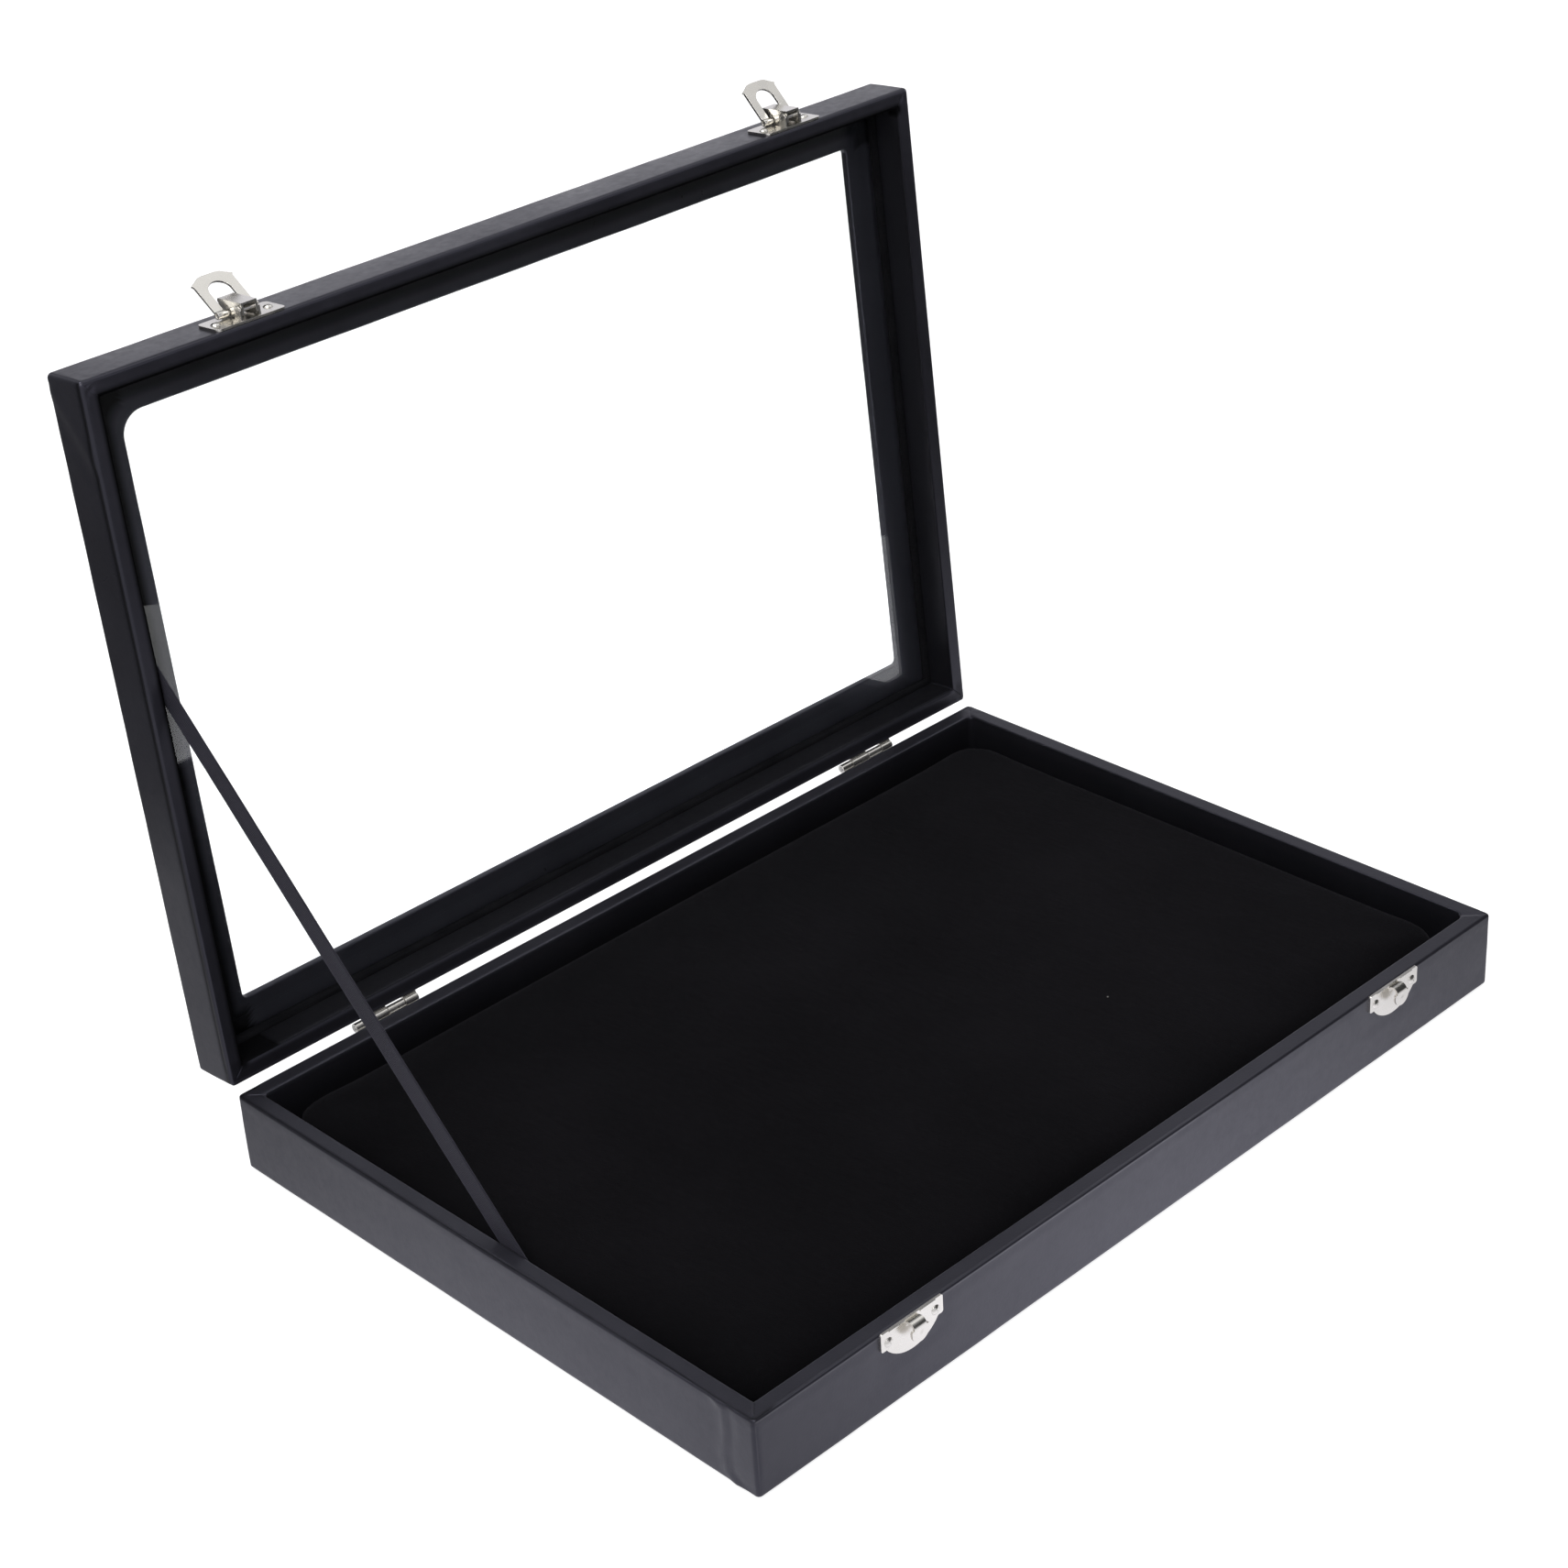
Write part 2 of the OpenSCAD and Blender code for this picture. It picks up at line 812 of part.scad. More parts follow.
// Covering over the lid's boards, inside and out, with the window's edge.
module lid_wrap() {
    color([0.15, 0.15, 0.16])
        lid_pose()
            difference() {
                rounded_block(half_w, half_d, lid_z0, lid_z1, corner_r);
                block(in_x, in_y, lid_z0 - eps, glass_z1);
                window_block(0, glass_z1 - eps, lid_z1 + eps);
                difference() {
                    block(board_x, board_y, rail_z0, panel_z0 + eps);
                    block(board_in_x, board_in_y, rail_z0 - eps, panel_z0 + 2 * eps);
                }
                difference() {
                    block(board_x, board_y, panel_z0, panel_z1);
                    window_block(cover_t, panel_z0 - eps, panel_z1 + eps);
                }
                lid_holes();
            }
}

module glass_pane() {
    color([0.8, 0.9, 0.9, 0.4])
        lid_pose()
            block(in_x - glass_gap, in_y - glass_gap, glass_z0, glass_z1);
}

// Glass beads, mitred at the corners.
module quarter_round() {
    intersection() {
        circle(r = bead_r);
        translate([0, -bead_r])
            square([bead_r, bead_r]);
    }
}

module mitre(half_l, off) {
    k = 2 * bead_r;
    translate([0, 0, glass_z0 - k])
        linear_extrude(2 * k)
            polygon([[-half_l, -off], [half_l, -off], [half_l - k, k - off], [k - half_l, k - off]]);
}

module bead(turn, half_l, off) {
    color("black")
        lid_pose()
            rotate([0, 0, turn])
                intersection() {
                    translate([0, -off, glass_z0])
                        across(-half_l, half_l)
                            quarter_round();
                    mitre(half_l, off);
                }
}

module bead_front() {
    bead(0, in_x, in_y);
}

module bead_rear() {
    bead(180, in_x, in_y);
}

module bead_left() {
    bead(-90, in_y, in_x);
}

module bead_right() {
    bead(90, in_y, in_x);
}

// Clasps, drawn on the closed lid: X along the front, -Y out from the face, Z up from the lid rim.
module at_clasp(x) {
    translate([x, -half_d, lid_z0])
        children();
}

module clasp_plate(x) {
    color("silver")
        lid_pose()
            difference() {
                at_clasp(x)
                    union() {
                        translate([0, 0, (clasp_d0 + clasp_d1) / 2])
                            front_sheet(plate_t)
                                rounded_rect(plate_hw, (clasp_d1 - clasp_d0) / 2, plate_r);
                        for (u = [-ear_u - ear_t, ear_u])
                            across(u, u + ear_t) {
                                translate([-pivot_h, pivot_d])
                                    circle(r = ear_r);
                                translate([-pivot_h, pivot_d - ear_r])
                                    square([pivot_h - plate_t / 2, 2 * ear_r]);
                            }
                    }
                at_clasp(x)
                    translate([0, -pivot_h, pivot_d])
                        rod(-plate_hw, plate_hw, pivot_r + shank_gap);
                at_clasp_nails()
                    nail_hole(shank_r, nail_l);
            }
}

module lever_pin(x) {
    color("gray")
        lid_pose()
            at_clasp(x)
                translate([0, -pivot_h, pivot_d])
                    rod(-ear_u - ear_t, ear_u + ear_t, pivot_r);
}

module lever_outline() {
    polygon([
        [-lever_chin, lever_front],
        [-lever_top, lever_front],
        [-lever_top, lever_end],
        [-lever_low, lever_end],
        [-lever_low, pivot_d]
    ]);
}

module lever_slot() {
    translate([-loop_pin_h, loop_pin_d])
        circle(r = loop_bore_r);
    translate([-loop_pin_h - slot_rise, loop_pin_d])
        circle(r = loop_bore_r);
    translate([-loop_pin_h - slot_rise, loop_pin_d - loop_bore_r])
        square([slot_rise, 2 * loop_bore_r]);
}

module lever(x) {
    color("silver")
        lid_pose()
            at_clasp(x)
                difference() {
                    union() {
                        across(-lever_hw, lever_hw)
                            lever_outline();
                        translate([0, thumb_r - lever_top, lever_end - lever_t / 2])
                            rod(-lever_hw, lever_hw, thumb_r);
                    }
                    translate([-lever_hw + lever_t, -lever_top + lever_t, -lever_rise])
                        cube([2 * (lever_hw - lever_t), lever_top, lever_end + lever_rise - lever_t]);
                    translate([0, -pivot_h, pivot_d])
                        rod(-plate_hw, plate_hw, pivot_bore_r);
                    across(-plate_hw, plate_hw)
                        lever_slot();
                }
}

module loop_pin(x) {
    color("gray")
        lid_pose()
            at_clasp(x)
                translate([0, -loop_pin_h, loop_pin_d])
                    rod(-loop_pin_hl, loop_pin_hl, loop_pin_r);
}

module loop_outline() {
    difference() {
        polygon([
            [-loop_hw, 0],
            [loop_hw, 0],
            [loop_hw, loop_ear_v - 0.8],
            [loop_hw + loop_ear, loop_ear_v],
            [loop_hw * 0.82, loop_ear_v + 1],
            [loop_hw * 0.58, loop_crown_v - 0.3],
            [loop_hw * 0.35, loop_crown_v],
            [-loop_hw * 0.35, loop_crown_v],
            [-loop_hw * 0.58, loop_crown_v - 0.3],
            [-loop_hw * 0.82, loop_ear_v + 1],
            [-loop_hw - loop_ear, loop_ear_v],
            [-loop_hw, loop_ear_v - 0.8]
        ]);
        translate([0, loop_hole_v - loop_hole_hw])
            circle(r = loop_hole_hw);
        translate([-loop_hole_hw, -eps])
            square([2 * loop_hole_hw, loop_hole_v - loop_hole_hw + eps]);
    }
}

module loop(x, tilt) {
    color("silver")
        lid_pose()
            at_clasp(x)
                translate([0, -loop_pin_h, loop_pin_d])
                    rotate([tilt, 0, 0])
                        difference() {
                            union() {
                                translate([0, loop_t / 2, 0])
                                    front_sheet(loop_t)
                                        loop_outline();
                                rod(loop_roll_u, loop_hw, loop_roll_r);
                                rod(-loop_hw, -loop_roll_u, loop_roll_r);
                            }
                            rod(-plate_hw, plate_hw, loop_bore_r);
                        }
}

module clasp_plate_left() {
    clasp_plate(fit_x[0]);
}

module clasp_plate_right() {
    clasp_plate(fit_x[1]);
}

module clasp_nails() {
    color("silver")
        lid_pose()
            at_clasp_nails()
                nail(head_r, head_h, shank_r, nail_l);
}

module lever_pin_left() {
    lever_pin(fit_x[0]);
}

module lever_pin_right() {
    lever_pin(fit_x[1]);
}

module lever_left() {
    lever(fit_x[0]);
}

module lever_right() {
    lever(fit_x[1]);
}

module loop_pin_left() {
    loop_pin(fit_x[0]);
}

module loop_pin_right() {
    loop_pin(fit_x[1]);
}

module loop_left() {
    loop(fit_x[0], loop_tilt_left);
}

module loop_right() {
    loop(fit_x[1], loop_tilt_right);
}

base_front_wall();
base_rear_wall();
base_left_wall();
base_right_wall();
base_bottom_panel();
base_wrap();
base_underlay();
pad_board();
pad_foam();
pad_cover();
strap();
strap_base_tack();
strap_lid_tack();
hinge_base_leaf_left();
hinge_base_leaf_right();
hinge_lid_leaf_left();
hinge_lid_leaf_right();
hinge_pin_left();
hinge_pin_right();
hinge_base_nails();
hinge_lid_nails();
catch_left();
catch_right();
catch_nails();
lid_front_rail();
lid_rear_rail();
lid_left_rail();
lid_right_rail();
lid_window_panel();
lid_wrap();
glass_pane();
bead_front();
bead_rear();
bead_left();
bead_right();
clasp_plate_left();
clasp_plate_right();
clasp_nails();
lever_pin_left();
lever_pin_right();
lever_left();
lever_right();
loop_pin_left();
loop_pin_right();
loop_left();
loop_right();
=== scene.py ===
import json
import math
from types import SimpleNamespace

import bmesh
import bpy
import numpy as np
from mathutils import Matrix, Vector, noise


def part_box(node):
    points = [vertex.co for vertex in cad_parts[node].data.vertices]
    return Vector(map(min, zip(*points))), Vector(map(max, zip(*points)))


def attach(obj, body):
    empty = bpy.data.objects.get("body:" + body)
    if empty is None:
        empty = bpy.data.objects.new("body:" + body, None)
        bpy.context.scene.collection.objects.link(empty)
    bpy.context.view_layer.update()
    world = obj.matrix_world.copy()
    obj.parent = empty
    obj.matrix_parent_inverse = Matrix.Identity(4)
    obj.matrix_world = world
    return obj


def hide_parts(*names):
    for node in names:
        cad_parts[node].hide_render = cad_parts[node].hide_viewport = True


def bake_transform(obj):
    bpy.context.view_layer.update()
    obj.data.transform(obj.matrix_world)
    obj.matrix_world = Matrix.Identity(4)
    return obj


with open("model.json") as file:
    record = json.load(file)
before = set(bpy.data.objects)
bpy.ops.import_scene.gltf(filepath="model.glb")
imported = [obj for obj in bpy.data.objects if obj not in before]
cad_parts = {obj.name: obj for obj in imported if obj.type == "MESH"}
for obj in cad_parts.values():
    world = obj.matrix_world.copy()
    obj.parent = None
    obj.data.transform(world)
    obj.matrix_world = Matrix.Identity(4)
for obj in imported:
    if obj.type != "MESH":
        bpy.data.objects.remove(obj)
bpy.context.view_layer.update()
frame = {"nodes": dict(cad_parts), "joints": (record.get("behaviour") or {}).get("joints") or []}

MM = 0.001
SIDES = ("front", "rear", "left", "right")
HANDS = ("left", "right")


def in_mm(point):
    return [round(v / MM, 3) for v in point]


def box_mm(node):
    """A node's lowest and highest corner in millimetres."""
    low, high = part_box(node)
    return in_mm(low), in_mm(high)


def middle_x(node):
    low, high = box_mm(node)
    return round((low[0] + high[0]) / 2, 3)


# Sizes in millimetres that the frame gives
(_, _, BASE_Z0), (HALF_W, HALF_D, BASE_H) = box_mm("base_wrap")
_, (BOTTOM_X, _, FLOOR_Z) = box_mm("base_bottom_panel")
BOARD_IN = round(HALF_W - BOTTOM_X, 3)
_, (PAD_X, PAD_Y, PAD_TOP) = box_mm("pad_cover")
(_, _, BOARD_TOP), (CORE_X, CORE_Y, _) = box_mm("pad_foam")
(STRAP_X0, _, _), (STRAP_X1, _, _) = box_mm("strap")
FITTING_X = [middle_x(f"catch_{hand}") for hand in HANDS]
LID_HINGE = next(joint for joint in frame["joints"] if joint["name"] == "lid_hinge")
_, HINGE_Y, HINGE_Z = in_mm(LID_HINGE["pos_m"])
LID_OPEN = math.radians(LID_HINGE["range_deg"][1])

# Sizes in millimetres as in the part's source. The lid's heights are for the closed lid.
LID_Z0, LID_Z1 = 28.7, 47.2
WALL_T = 6.2
CORNER_R = 1.4
PANEL_IN_Z = 44.08
WINDOW_SIDE, WINDOW_END = 19.5, 18.9
WINDOW_RADII = (8.0, 2.0, 2.0, 2.0)
PAD_R, PAD_ROLL = 15.0, 6.4
STRAP_W, STRAP_TAIL = 8.8, 2.0
STRAP_BASE = (-20.4, 18.0)
STRAP_LID = (-25.0, LID_Z0 + 6.2)


# Shared helpers
def link(obj):
    bpy.context.scene.collection.objects.link(obj)
    return obj


def to_open(p):
    """Closed-lid points turned to the open lid's place."""
    q = np.array(p, float)
    dy, dz = q[..., 1] - HINGE_Y, q[..., 2] - HINGE_Z
    c, s = math.cos(LID_OPEN), math.sin(LID_OPEN)
    q[..., 1] = HINGE_Y + dy * c + dz * s
    q[..., 2] = HINGE_Z - dy * s + dz * c
    return q


def mesh_object(name, points, faces):
    """Smooth object from points in millimetres."""
    mesh = bpy.data.meshes.new(name)
    mesh.from_pydata([tuple(p) for p in np.asarray(points) * MM], [], faces)
    bm = bmesh.new()
    bm.from_mesh(mesh)
    bmesh.ops.recalc_face_normals(bm, faces=bm.faces)
    bm.to_mesh(mesh)
    bm.free()
    mesh.polygons.foreach_set("use_smooth", [True] * len(mesh.polygons))
    return link(bpy.data.objects.new(name, mesh))


def loft_faces(rows, cols, closed=False):
    """Quads between neighbouring rings of points. An open loft has its first and last ring filled."""
    faces = []
    for s in range(rows if closed else rows - 1):
        here, there = s * cols, (s + 1) % rows * cols
        for i in range(cols):
            j = (i + 1) % cols
            faces.append((here + i, here + j, there + j, there + i))
    if not closed:
        faces += [tuple(reversed(range(cols))), tuple(range((rows - 1) * cols, rows * cols))]
    return faces


def apply_modifiers(obj):
    bpy.context.view_layer.update()
    made = bpy.data.meshes.new_from_object(obj.evaluated_get(bpy.context.evaluated_depsgraph_get()))
    obj.modifiers.clear()
    obj.data = made
    made.polygons.foreach_set("use_smooth", [True] * len(made.polygons))


def coords_of(mesh):
    co = np.zeros(len(mesh.vertices) * 3)
    mesh.vertices.foreach_get("co", co)
    return co.reshape(-1, 3)


def bumps(points, size, seed=0.0):
    """Smooth noise from -1 to 1 with features of that size."""
    flat = np.asarray(points).reshape(-1, 3) / size + seed
    return np.array([noise.noise(Vector(p)) for p in flat]).reshape(np.asarray(points).shape[:-1])


def waves(points, *layers):
    """Sum of smooth noises, each given as height, size and seed."""
    return sum(height * bumps(points, size, seed) for height, size, seed in layers)


def hump(d, width):
    """One at no distance, falling away within about that width."""
    return np.exp(-(d / width) ** 2)


def rise(value, start, width):
    """Nothing up to the start, growing to one over the width."""
    return np.clip((value - start) / width, 0, 1)


def fade(value, end, width):
    """One, falling over the width to nothing at the end."""
    return np.clip((end - value) / width, 0, 1)


def finish_with(obj, mat):
    obj.data.materials.clear()
    obj.data.materials.append(mat)


# Nodes
def add(tree, kind, inputs=None, **settings):
    """New node with its settings. Each input is given a value or joined to a socket."""
    node = tree.nodes.new(kind)
    for key, value in settings.items():
        setattr(node, key, value)
    for key, value in (inputs or {}).items():
        socket = node.inputs[key]
        if isinstance(value, bpy.types.NodeSocket):
            tree.links.new(value, socket)
        else:
            socket.default_value = value
    return node


def surface(name, **values):
    mat = bpy.data.materials.new(name)
    mat.use_nodes = True
    shader = mat.node_tree.nodes["Principled BSDF"]
    for key, value in values.items():
        shader.inputs[key.replace("_", " ")].default_value = value
    return mat, mat.node_tree, shader


def feed(tree, shader, **sockets):
    for key, value in sockets.items():
        tree.links.new(value, shader.inputs[key.replace("_", " ")])


def show(tree, shader):
    tree.links.new(shader.outputs[0], tree.nodes["Material Output"].inputs["Surface"])


def ramp(tree, fac, stops):
    node = add(tree, "ShaderNodeValToRGB", {"Fac": fac})
    while len(node.color_ramp.elements) < len(stops):
        node.color_ramp.elements.new(0.5)
    for element, (at, colour) in zip(node.color_ramp.elements, stops):
        element.position = at
        element.color = (*colour, 1)
    return node.outputs["Color"]


def spread(tree, value, low, high, from_low=0.3, from_high=0.7):
    return add(tree, "ShaderNodeMapRange", {
        "Value": value, "From Min": from_low, "From Max": from_high, "To Min": low, "To Max": high,
    }).outputs["Result"]


def math_node(tree, operation, a, b):
    return add(tree, "ShaderNodeMath", {0: a, 1: b}, operation=operation).outputs[0]


def sum_of(tree, a, b, share):
    """a and that share of b."""
    return math_node(tree, "ADD", a, math_node(tree, "MULTIPLY", b, share))


def colour_mix(tree, share, a, b):
    node = add(tree, "ShaderNodeMix", {"Factor": share, "A": a, "B": b}, data_type="RGBA")
    return node.outputs["Result"]


def object_coords(tree, scale=(1, 1, 1)):
    coords = add(tree, "ShaderNodeTexCoord").outputs["Object"]
    return add(tree, "ShaderNodeMapping", {"Vector": coords, "Scale": scale}).outputs[0]


def noise_of(tree, coords, scale, detail=2.0, rough=0.5):
    return add(tree, "ShaderNodeTexNoise", {
        "Vector": coords, "Scale": scale, "Detail": detail, "Roughness": rough,
    }).outputs["Fac"]


def bump_on(tree, shader, height, distance, strength):
    node = add(tree, "ShaderNodeBump", {"Height": height, "Distance": distance, "Strength": strength})
    feed(tree, shader, Normal=node.outputs["Normal"])


# Materials. Noise scales are features per metre, and bump distances are in metres.
COOL_SHINE = (0.80, 0.795, 1.0, 1)


def leatherette():
    """Black embossed sheet. The shade attribute is painted shade: it takes the folds, grooves, rim edges,
    the inside and the margins behind the pane towards unlit black and takes their reflection away.
    """
    low, high, unlit = (0.0098, 0.0096, 0.0124), (0.0152, 0.0150, 0.0188), (0.004, 0.004, 0.0045, 1)
    mat, tree, shader = surface("leatherette", Specular_Tint=COOL_SHINE)
    coords = object_coords(tree)
    shade = add(tree, "ShaderNodeAttribute", attribute_name="shade").outputs["Fac"]
    cells = add(tree, "ShaderNodeTexVoronoi", {"Vector": coords, "Scale": 1500.0}, feature="SMOOTH_F1")
    fine = noise_of(tree, coords, 4200.0, 3.0, 0.6)
    cloud = noise_of(tree, coords, 22.0, 4.0, 0.55)
    mottle = noise_of(tree, coords, 380.0, 3.0, 0.6)
    colour = ramp(tree, cloud, [(0.3, low), (0.7, high)])
    rough = math_node(tree, "ADD", spread(tree, cloud, 0.30, 0.38), spread(tree, mottle, -0.04, 0.05))
    # Painted shade: the shade attribute darkens the colour and lowers the reflection
    feed(tree, shader, Base_Color=colour_mix(tree, shade, colour, unlit), Roughness=rough,
         Specular_IOR_Level=spread(tree, shade, 0.58, 0.0, 0.0, 1.0))
    bump_on(tree, shader, sum_of(tree, cells.outputs["Distance"], fine, 0.15), 0.00003, 0.5)
    return mat


def velvet():
    """Black pile with a nap across the pad, pressed patches and a few specks of lint."""
    low, high, lint = (0.0011, 0.0010, 0.0015), (0.0027, 0.0025, 0.0033), (0.16, 0.15, 0.14, 1)
    mat, tree, shader = surface("velvet", Roughness=0.95, Specular_IOR_Level=0.08, Sheen_Weight=0.022,
                                Sheen_Roughness=0.45, Sheen_Tint=(0.76, 0.74, 0.88, 1))
    coords = object_coords(tree)
    pile = noise_of(tree, coords, 2600.0, 3.0, 0.65)
    nap = noise_of(tree, object_coords(tree, (1.0, 0.35, 1.0)), 500.0, 2.0, 0.5)
    pressed = noise_of(tree, coords, 16.0, 2.0, 0.5)
    cells = add(tree, "ShaderNodeTexVoronoi", {"Vector": coords, "Scale": 34.0}, feature="F1")
    chance = add(tree, "ShaderNodeSeparateColor", {"Color": cells.outputs["Color"]}).outputs["Red"]
    speck = math_node(tree, "MULTIPLY", math_node(tree, "LESS_THAN", cells.outputs["Distance"], 0.012),
                      math_node(tree, "GREATER_THAN", chance, 0.82))
    cloth = ramp(tree, pressed, [(0.35, low), (0.75, high)])
    feed(tree, shader, Base_Color=colour_mix(tree, speck, cloth, lint))
    bump_on(tree, shader, sum_of(tree, pile, nap, 0.8), 0.00025, 0.6)
    return mat


def ribbon():
    """Black woven ribbon: ribs across it and finer warp threads along it, a little worn."""
    low, high = (0.0098, 0.0095, 0.0124), (0.0310, 0.0296, 0.0380)
    mat, tree, shader = surface("ribbon", Specular_IOR_Level=0.3, Sheen_Weight=0.06, Sheen_Roughness=0.4,
                                Sheen_Tint=(0.80, 0.78, 1.0, 1), Specular_Tint=(0.8, 0.79, 1.0, 1))
    uv = add(tree, "ShaderNodeUVMap", uv_map="weave").outputs["UV"]
    ribs = add(tree, "ShaderNodeTexWave", {"Vector": uv, "Scale": 620.0, "Distortion": 0.6, "Detail": 1.0},
               bands_direction="X")
    warp = add(tree, "ShaderNodeTexWave", {"Vector": uv, "Scale": 900.0, "Distortion": 0.4},
               bands_direction="Y")
    weave = sum_of(tree, ribs.outputs["Fac"], warp.outputs["Fac"], 0.5)
    wear = noise_of(tree, object_coords(tree), 90.0, 3.0, 0.6)
    colour = ramp(tree, math_node(tree, "MULTIPLY", weave, wear), [(0.1, low), (0.8, high)])
    feed(tree, shader, Base_Color=colour, Roughness=spread(tree, wear, 0.62, 0.78))
    bump_on(tree, shader, weave, 0.00012, 0.7)
    return mat


def nickel():
    """Nickel plate with a slight haze and faint rolling lines."""
    low, high = (0.705, 0.685, 0.64), (0.75, 0.73, 0.685)
    mat, tree, shader = surface("nickel", Metallic=1.0)
    haze = noise_of(tree, object_coords(tree), 180.0, 1.0, 0.5)
    lines = noise_of(tree, object_coords(tree, (1.0, 6.0, 6.0)), 260.0, 2.0, 0.5)
    feed(tree, shader, Base_Color=ramp(tree, haze, [(0.3, low), (0.7, high)]),
         Roughness=spread(tree, haze, 0.22, 0.30))
    bump_on(tree, shader, lines, 0.000003, 0.15)
    return mat


def steel():
    """Drawn steel wire, for the pins."""
    low, high = (0.42, 0.41, 0.39), (0.58, 0.57, 0.55)
    mat, tree, shader = surface("steel_pin", Metallic=1.0)
    lines = noise_of(tree, object_coords(tree, (1.0, 20.0, 20.0)), 700.0, 3.0, 0.6)
    feed(tree, shader, Base_Color=ramp(tree, lines, [(0.3, low), (0.7, high)]),
         Roughness=spread(tree, lines, 0.24, 0.36))
    bump_on(tree, shader, lines, 0.00001, 0.4)
    return mat


def black_tack():
    """Black lacquered tack with small chips."""
    low, high = (0.008, 0.008, 0.009), (0.025, 0.025, 0.026)
    mat, tree, shader = surface("black_tack", Specular_IOR_Level=0.5)
    chips = noise_of(tree, object_coords(tree), 900.0, 3.0, 0.6)
    feed(tree, shader, Base_Color=ramp(tree, chips, [(0.35, low), (0.75, high)]),
         Roughness=spread(tree, chips, 0.28, 0.44))
    bump_on(tree, shader, chips, 0.00002, 0.3)
    return mat


def grained(name, low, high, stretch, scale, rough, depth, shine=0.5):
    """Wood, hardboard, card or paper: fibres of that scale, drawn out along the stretch."""
    mat, tree, shader = surface(name, Specular_IOR_Level=shine)
    fibre = noise_of(tree, object_coords(tree, stretch), scale, 5.0, 0.65)
    tone = noise_of(tree, object_coords(tree), scale / 12.0, 3.0, 0.5)
    mixed = sum_of(tree, math_node(tree, "MULTIPLY", fibre, 0.65), tone, 0.35)
    feed(tree, shader, Base_Color=ramp(tree, mixed, [(0.36, low), (0.64, high)]),
         Roughness=spread(tree, fibre, rough - 0.06, rough + 0.08))
    bump_on(tree, shader, fibre, depth, 0.5)
    return mat


def pane_glass():
    """Clear glass with faint smears, that lets the lamps' light through to the case."""
    mat, tree, shader = surface("pane_glass", Base_Color=(0.985, 1.0, 0.995, 1), Transmission_Weight=1.0,
                                IOR=1.5)
    smear = noise_of(tree, object_coords(tree), 30.0, 4.0, 0.6)
    feed(tree, shader, Roughness=spread(tree, smear, 0.0, 0.012, 0.45, 0.8))
    clear = add(tree, "ShaderNodeBsdfTransparent", {"Color": (0.92, 0.94, 0.93, 1)})
    shadow = add(tree, "ShaderNodeLightPath").outputs["Is Shadow Ray"]
    show(tree, add(tree, "ShaderNodeMixShader", {0: shadow, 1: shader.outputs[0], 2: clear.outputs[0]}))
    return mat


LEATHERETTE = leatherette()
VELVET = velvet()
RIBBON = ribbon()
NICKEL = nickel()
STEEL = steel()
TACK = black_tack()
GLASS = pane_glass()
BOARD = grained("raw_board", (0.24, 0.155, 0.085), (0.42, 0.30, 0.18), stretch=(0.06, 1.0, 1.0),
                scale=900.0, rough=0.62, depth=0.0001)
HARDBOARD = grained("hardboard", (0.10, 0.058, 0.030), (0.19, 0.115, 0.062), stretch=(1.0, 1.0, 1.0),
                    scale=1400.0, rough=0.7, depth=0.00008)
CARD = grained("grey_card", (0.26, 0.22, 0.17), (0.38, 0.33, 0.26), stretch=(1.0, 0.5, 1.0),
               scale=1600.0, rough=0.8, depth=0.00006)
PAPER = grained("black_paper", (0.010, 0.010, 0.011), (0.022, 0.022, 0.023), stretch=(1.0, 0.6, 1.0),
                scale=1500.0, rough=0.75, depth=0.00006)
BEAD = grained("stained_bead", (0.0045, 0.0045, 0.0052), (0.009, 0.009, 0.0102), stretch=(0.05, 1.0, 1.0),
               scale=1200.0, rough=0.8, depth=0.00003, shine=0.0)

NODE_FINISH = {
    BOARD: [f"base_{side}_wall" for side in SIDES] + [f"lid_{side}_rail" for side in SIDES],
    HARDBOARD: ["lid_window_panel"],
    CARD: ["pad_board"],
    PAPER: ["base_underlay", "base_bottom_panel"],
    BEAD: [f"bead_{side}" for side in SIDES],
    TACK: ["strap_base_tack", "strap_lid_tack"],
    GLASS: ["glass_pane"],
    STEEL: [f"{piece}_pin_{hand}" for piece in ("hinge", "lever", "loop") for hand in HANDS],
}
for finish, names in NODE_FINISH.items():
    for node_name in names:
        finish_with(frame["nodes"][node_name], finish)


# Lofts: a section of insets and heights, carried round a rounded rectangle
ARC_STEPS = 10  # steps round each corner
SIDE_STEP = 2.6  # mean distance of the points along the sides
CROWDING = 0.72  # how much closer they stand near the corners
OFF_CORNER = 9.0  # place given to points that are on no corner


def side_runs(hx, hy):
    """Shares along the long and short sides, closer together near the corners."""
    runs = []
    for length in (2 * hx, 2 * hy):
        u = np.arange(1, round(length / SIDE_STEP)) / round(length / SIDE_STEP)
        runs.append((1 - CROWDING) * u + CROWDING * (0.5 - 0.5 * np.cos(np.pi * u)))
    return runs


def plan_loop(hx, hy, radii, runs):
    """Points of a rounded rectangle, from the front left corner along the front."""
    arcs = []
    for (sx, sy, a0), r in zip(((-1, -1, 180), (1, -1, 270), (1, 1, 0), (-1, 1, 90)), radii):
        a = np.radians(a0 + np.linspace(0, 90, ARC_STEPS + 1))
        arcs.append(np.c_[sx * (hx - r) + r * np.cos(a), sy * (hy - r) + r * np.sin(a)])
    out = []
    for k in range(4):
        t = runs[k % 2][:, None]
        out += [arcs[k], arcs[k][-1] * (1 - t) + arcs[(k + 1) % 4][0] * t]
    return np.concatenate(out)


def corner_places(runs):
    """Each point's place on its corner's arc, from -1 to 1, or far off along the sides."""
    place = []
    for k in range(4):
        place += [*np.linspace(-1, 1, ARC_STEPS + 1), *[OFF_CORNER] * len(runs[k % 2])]
    return np.array(place)


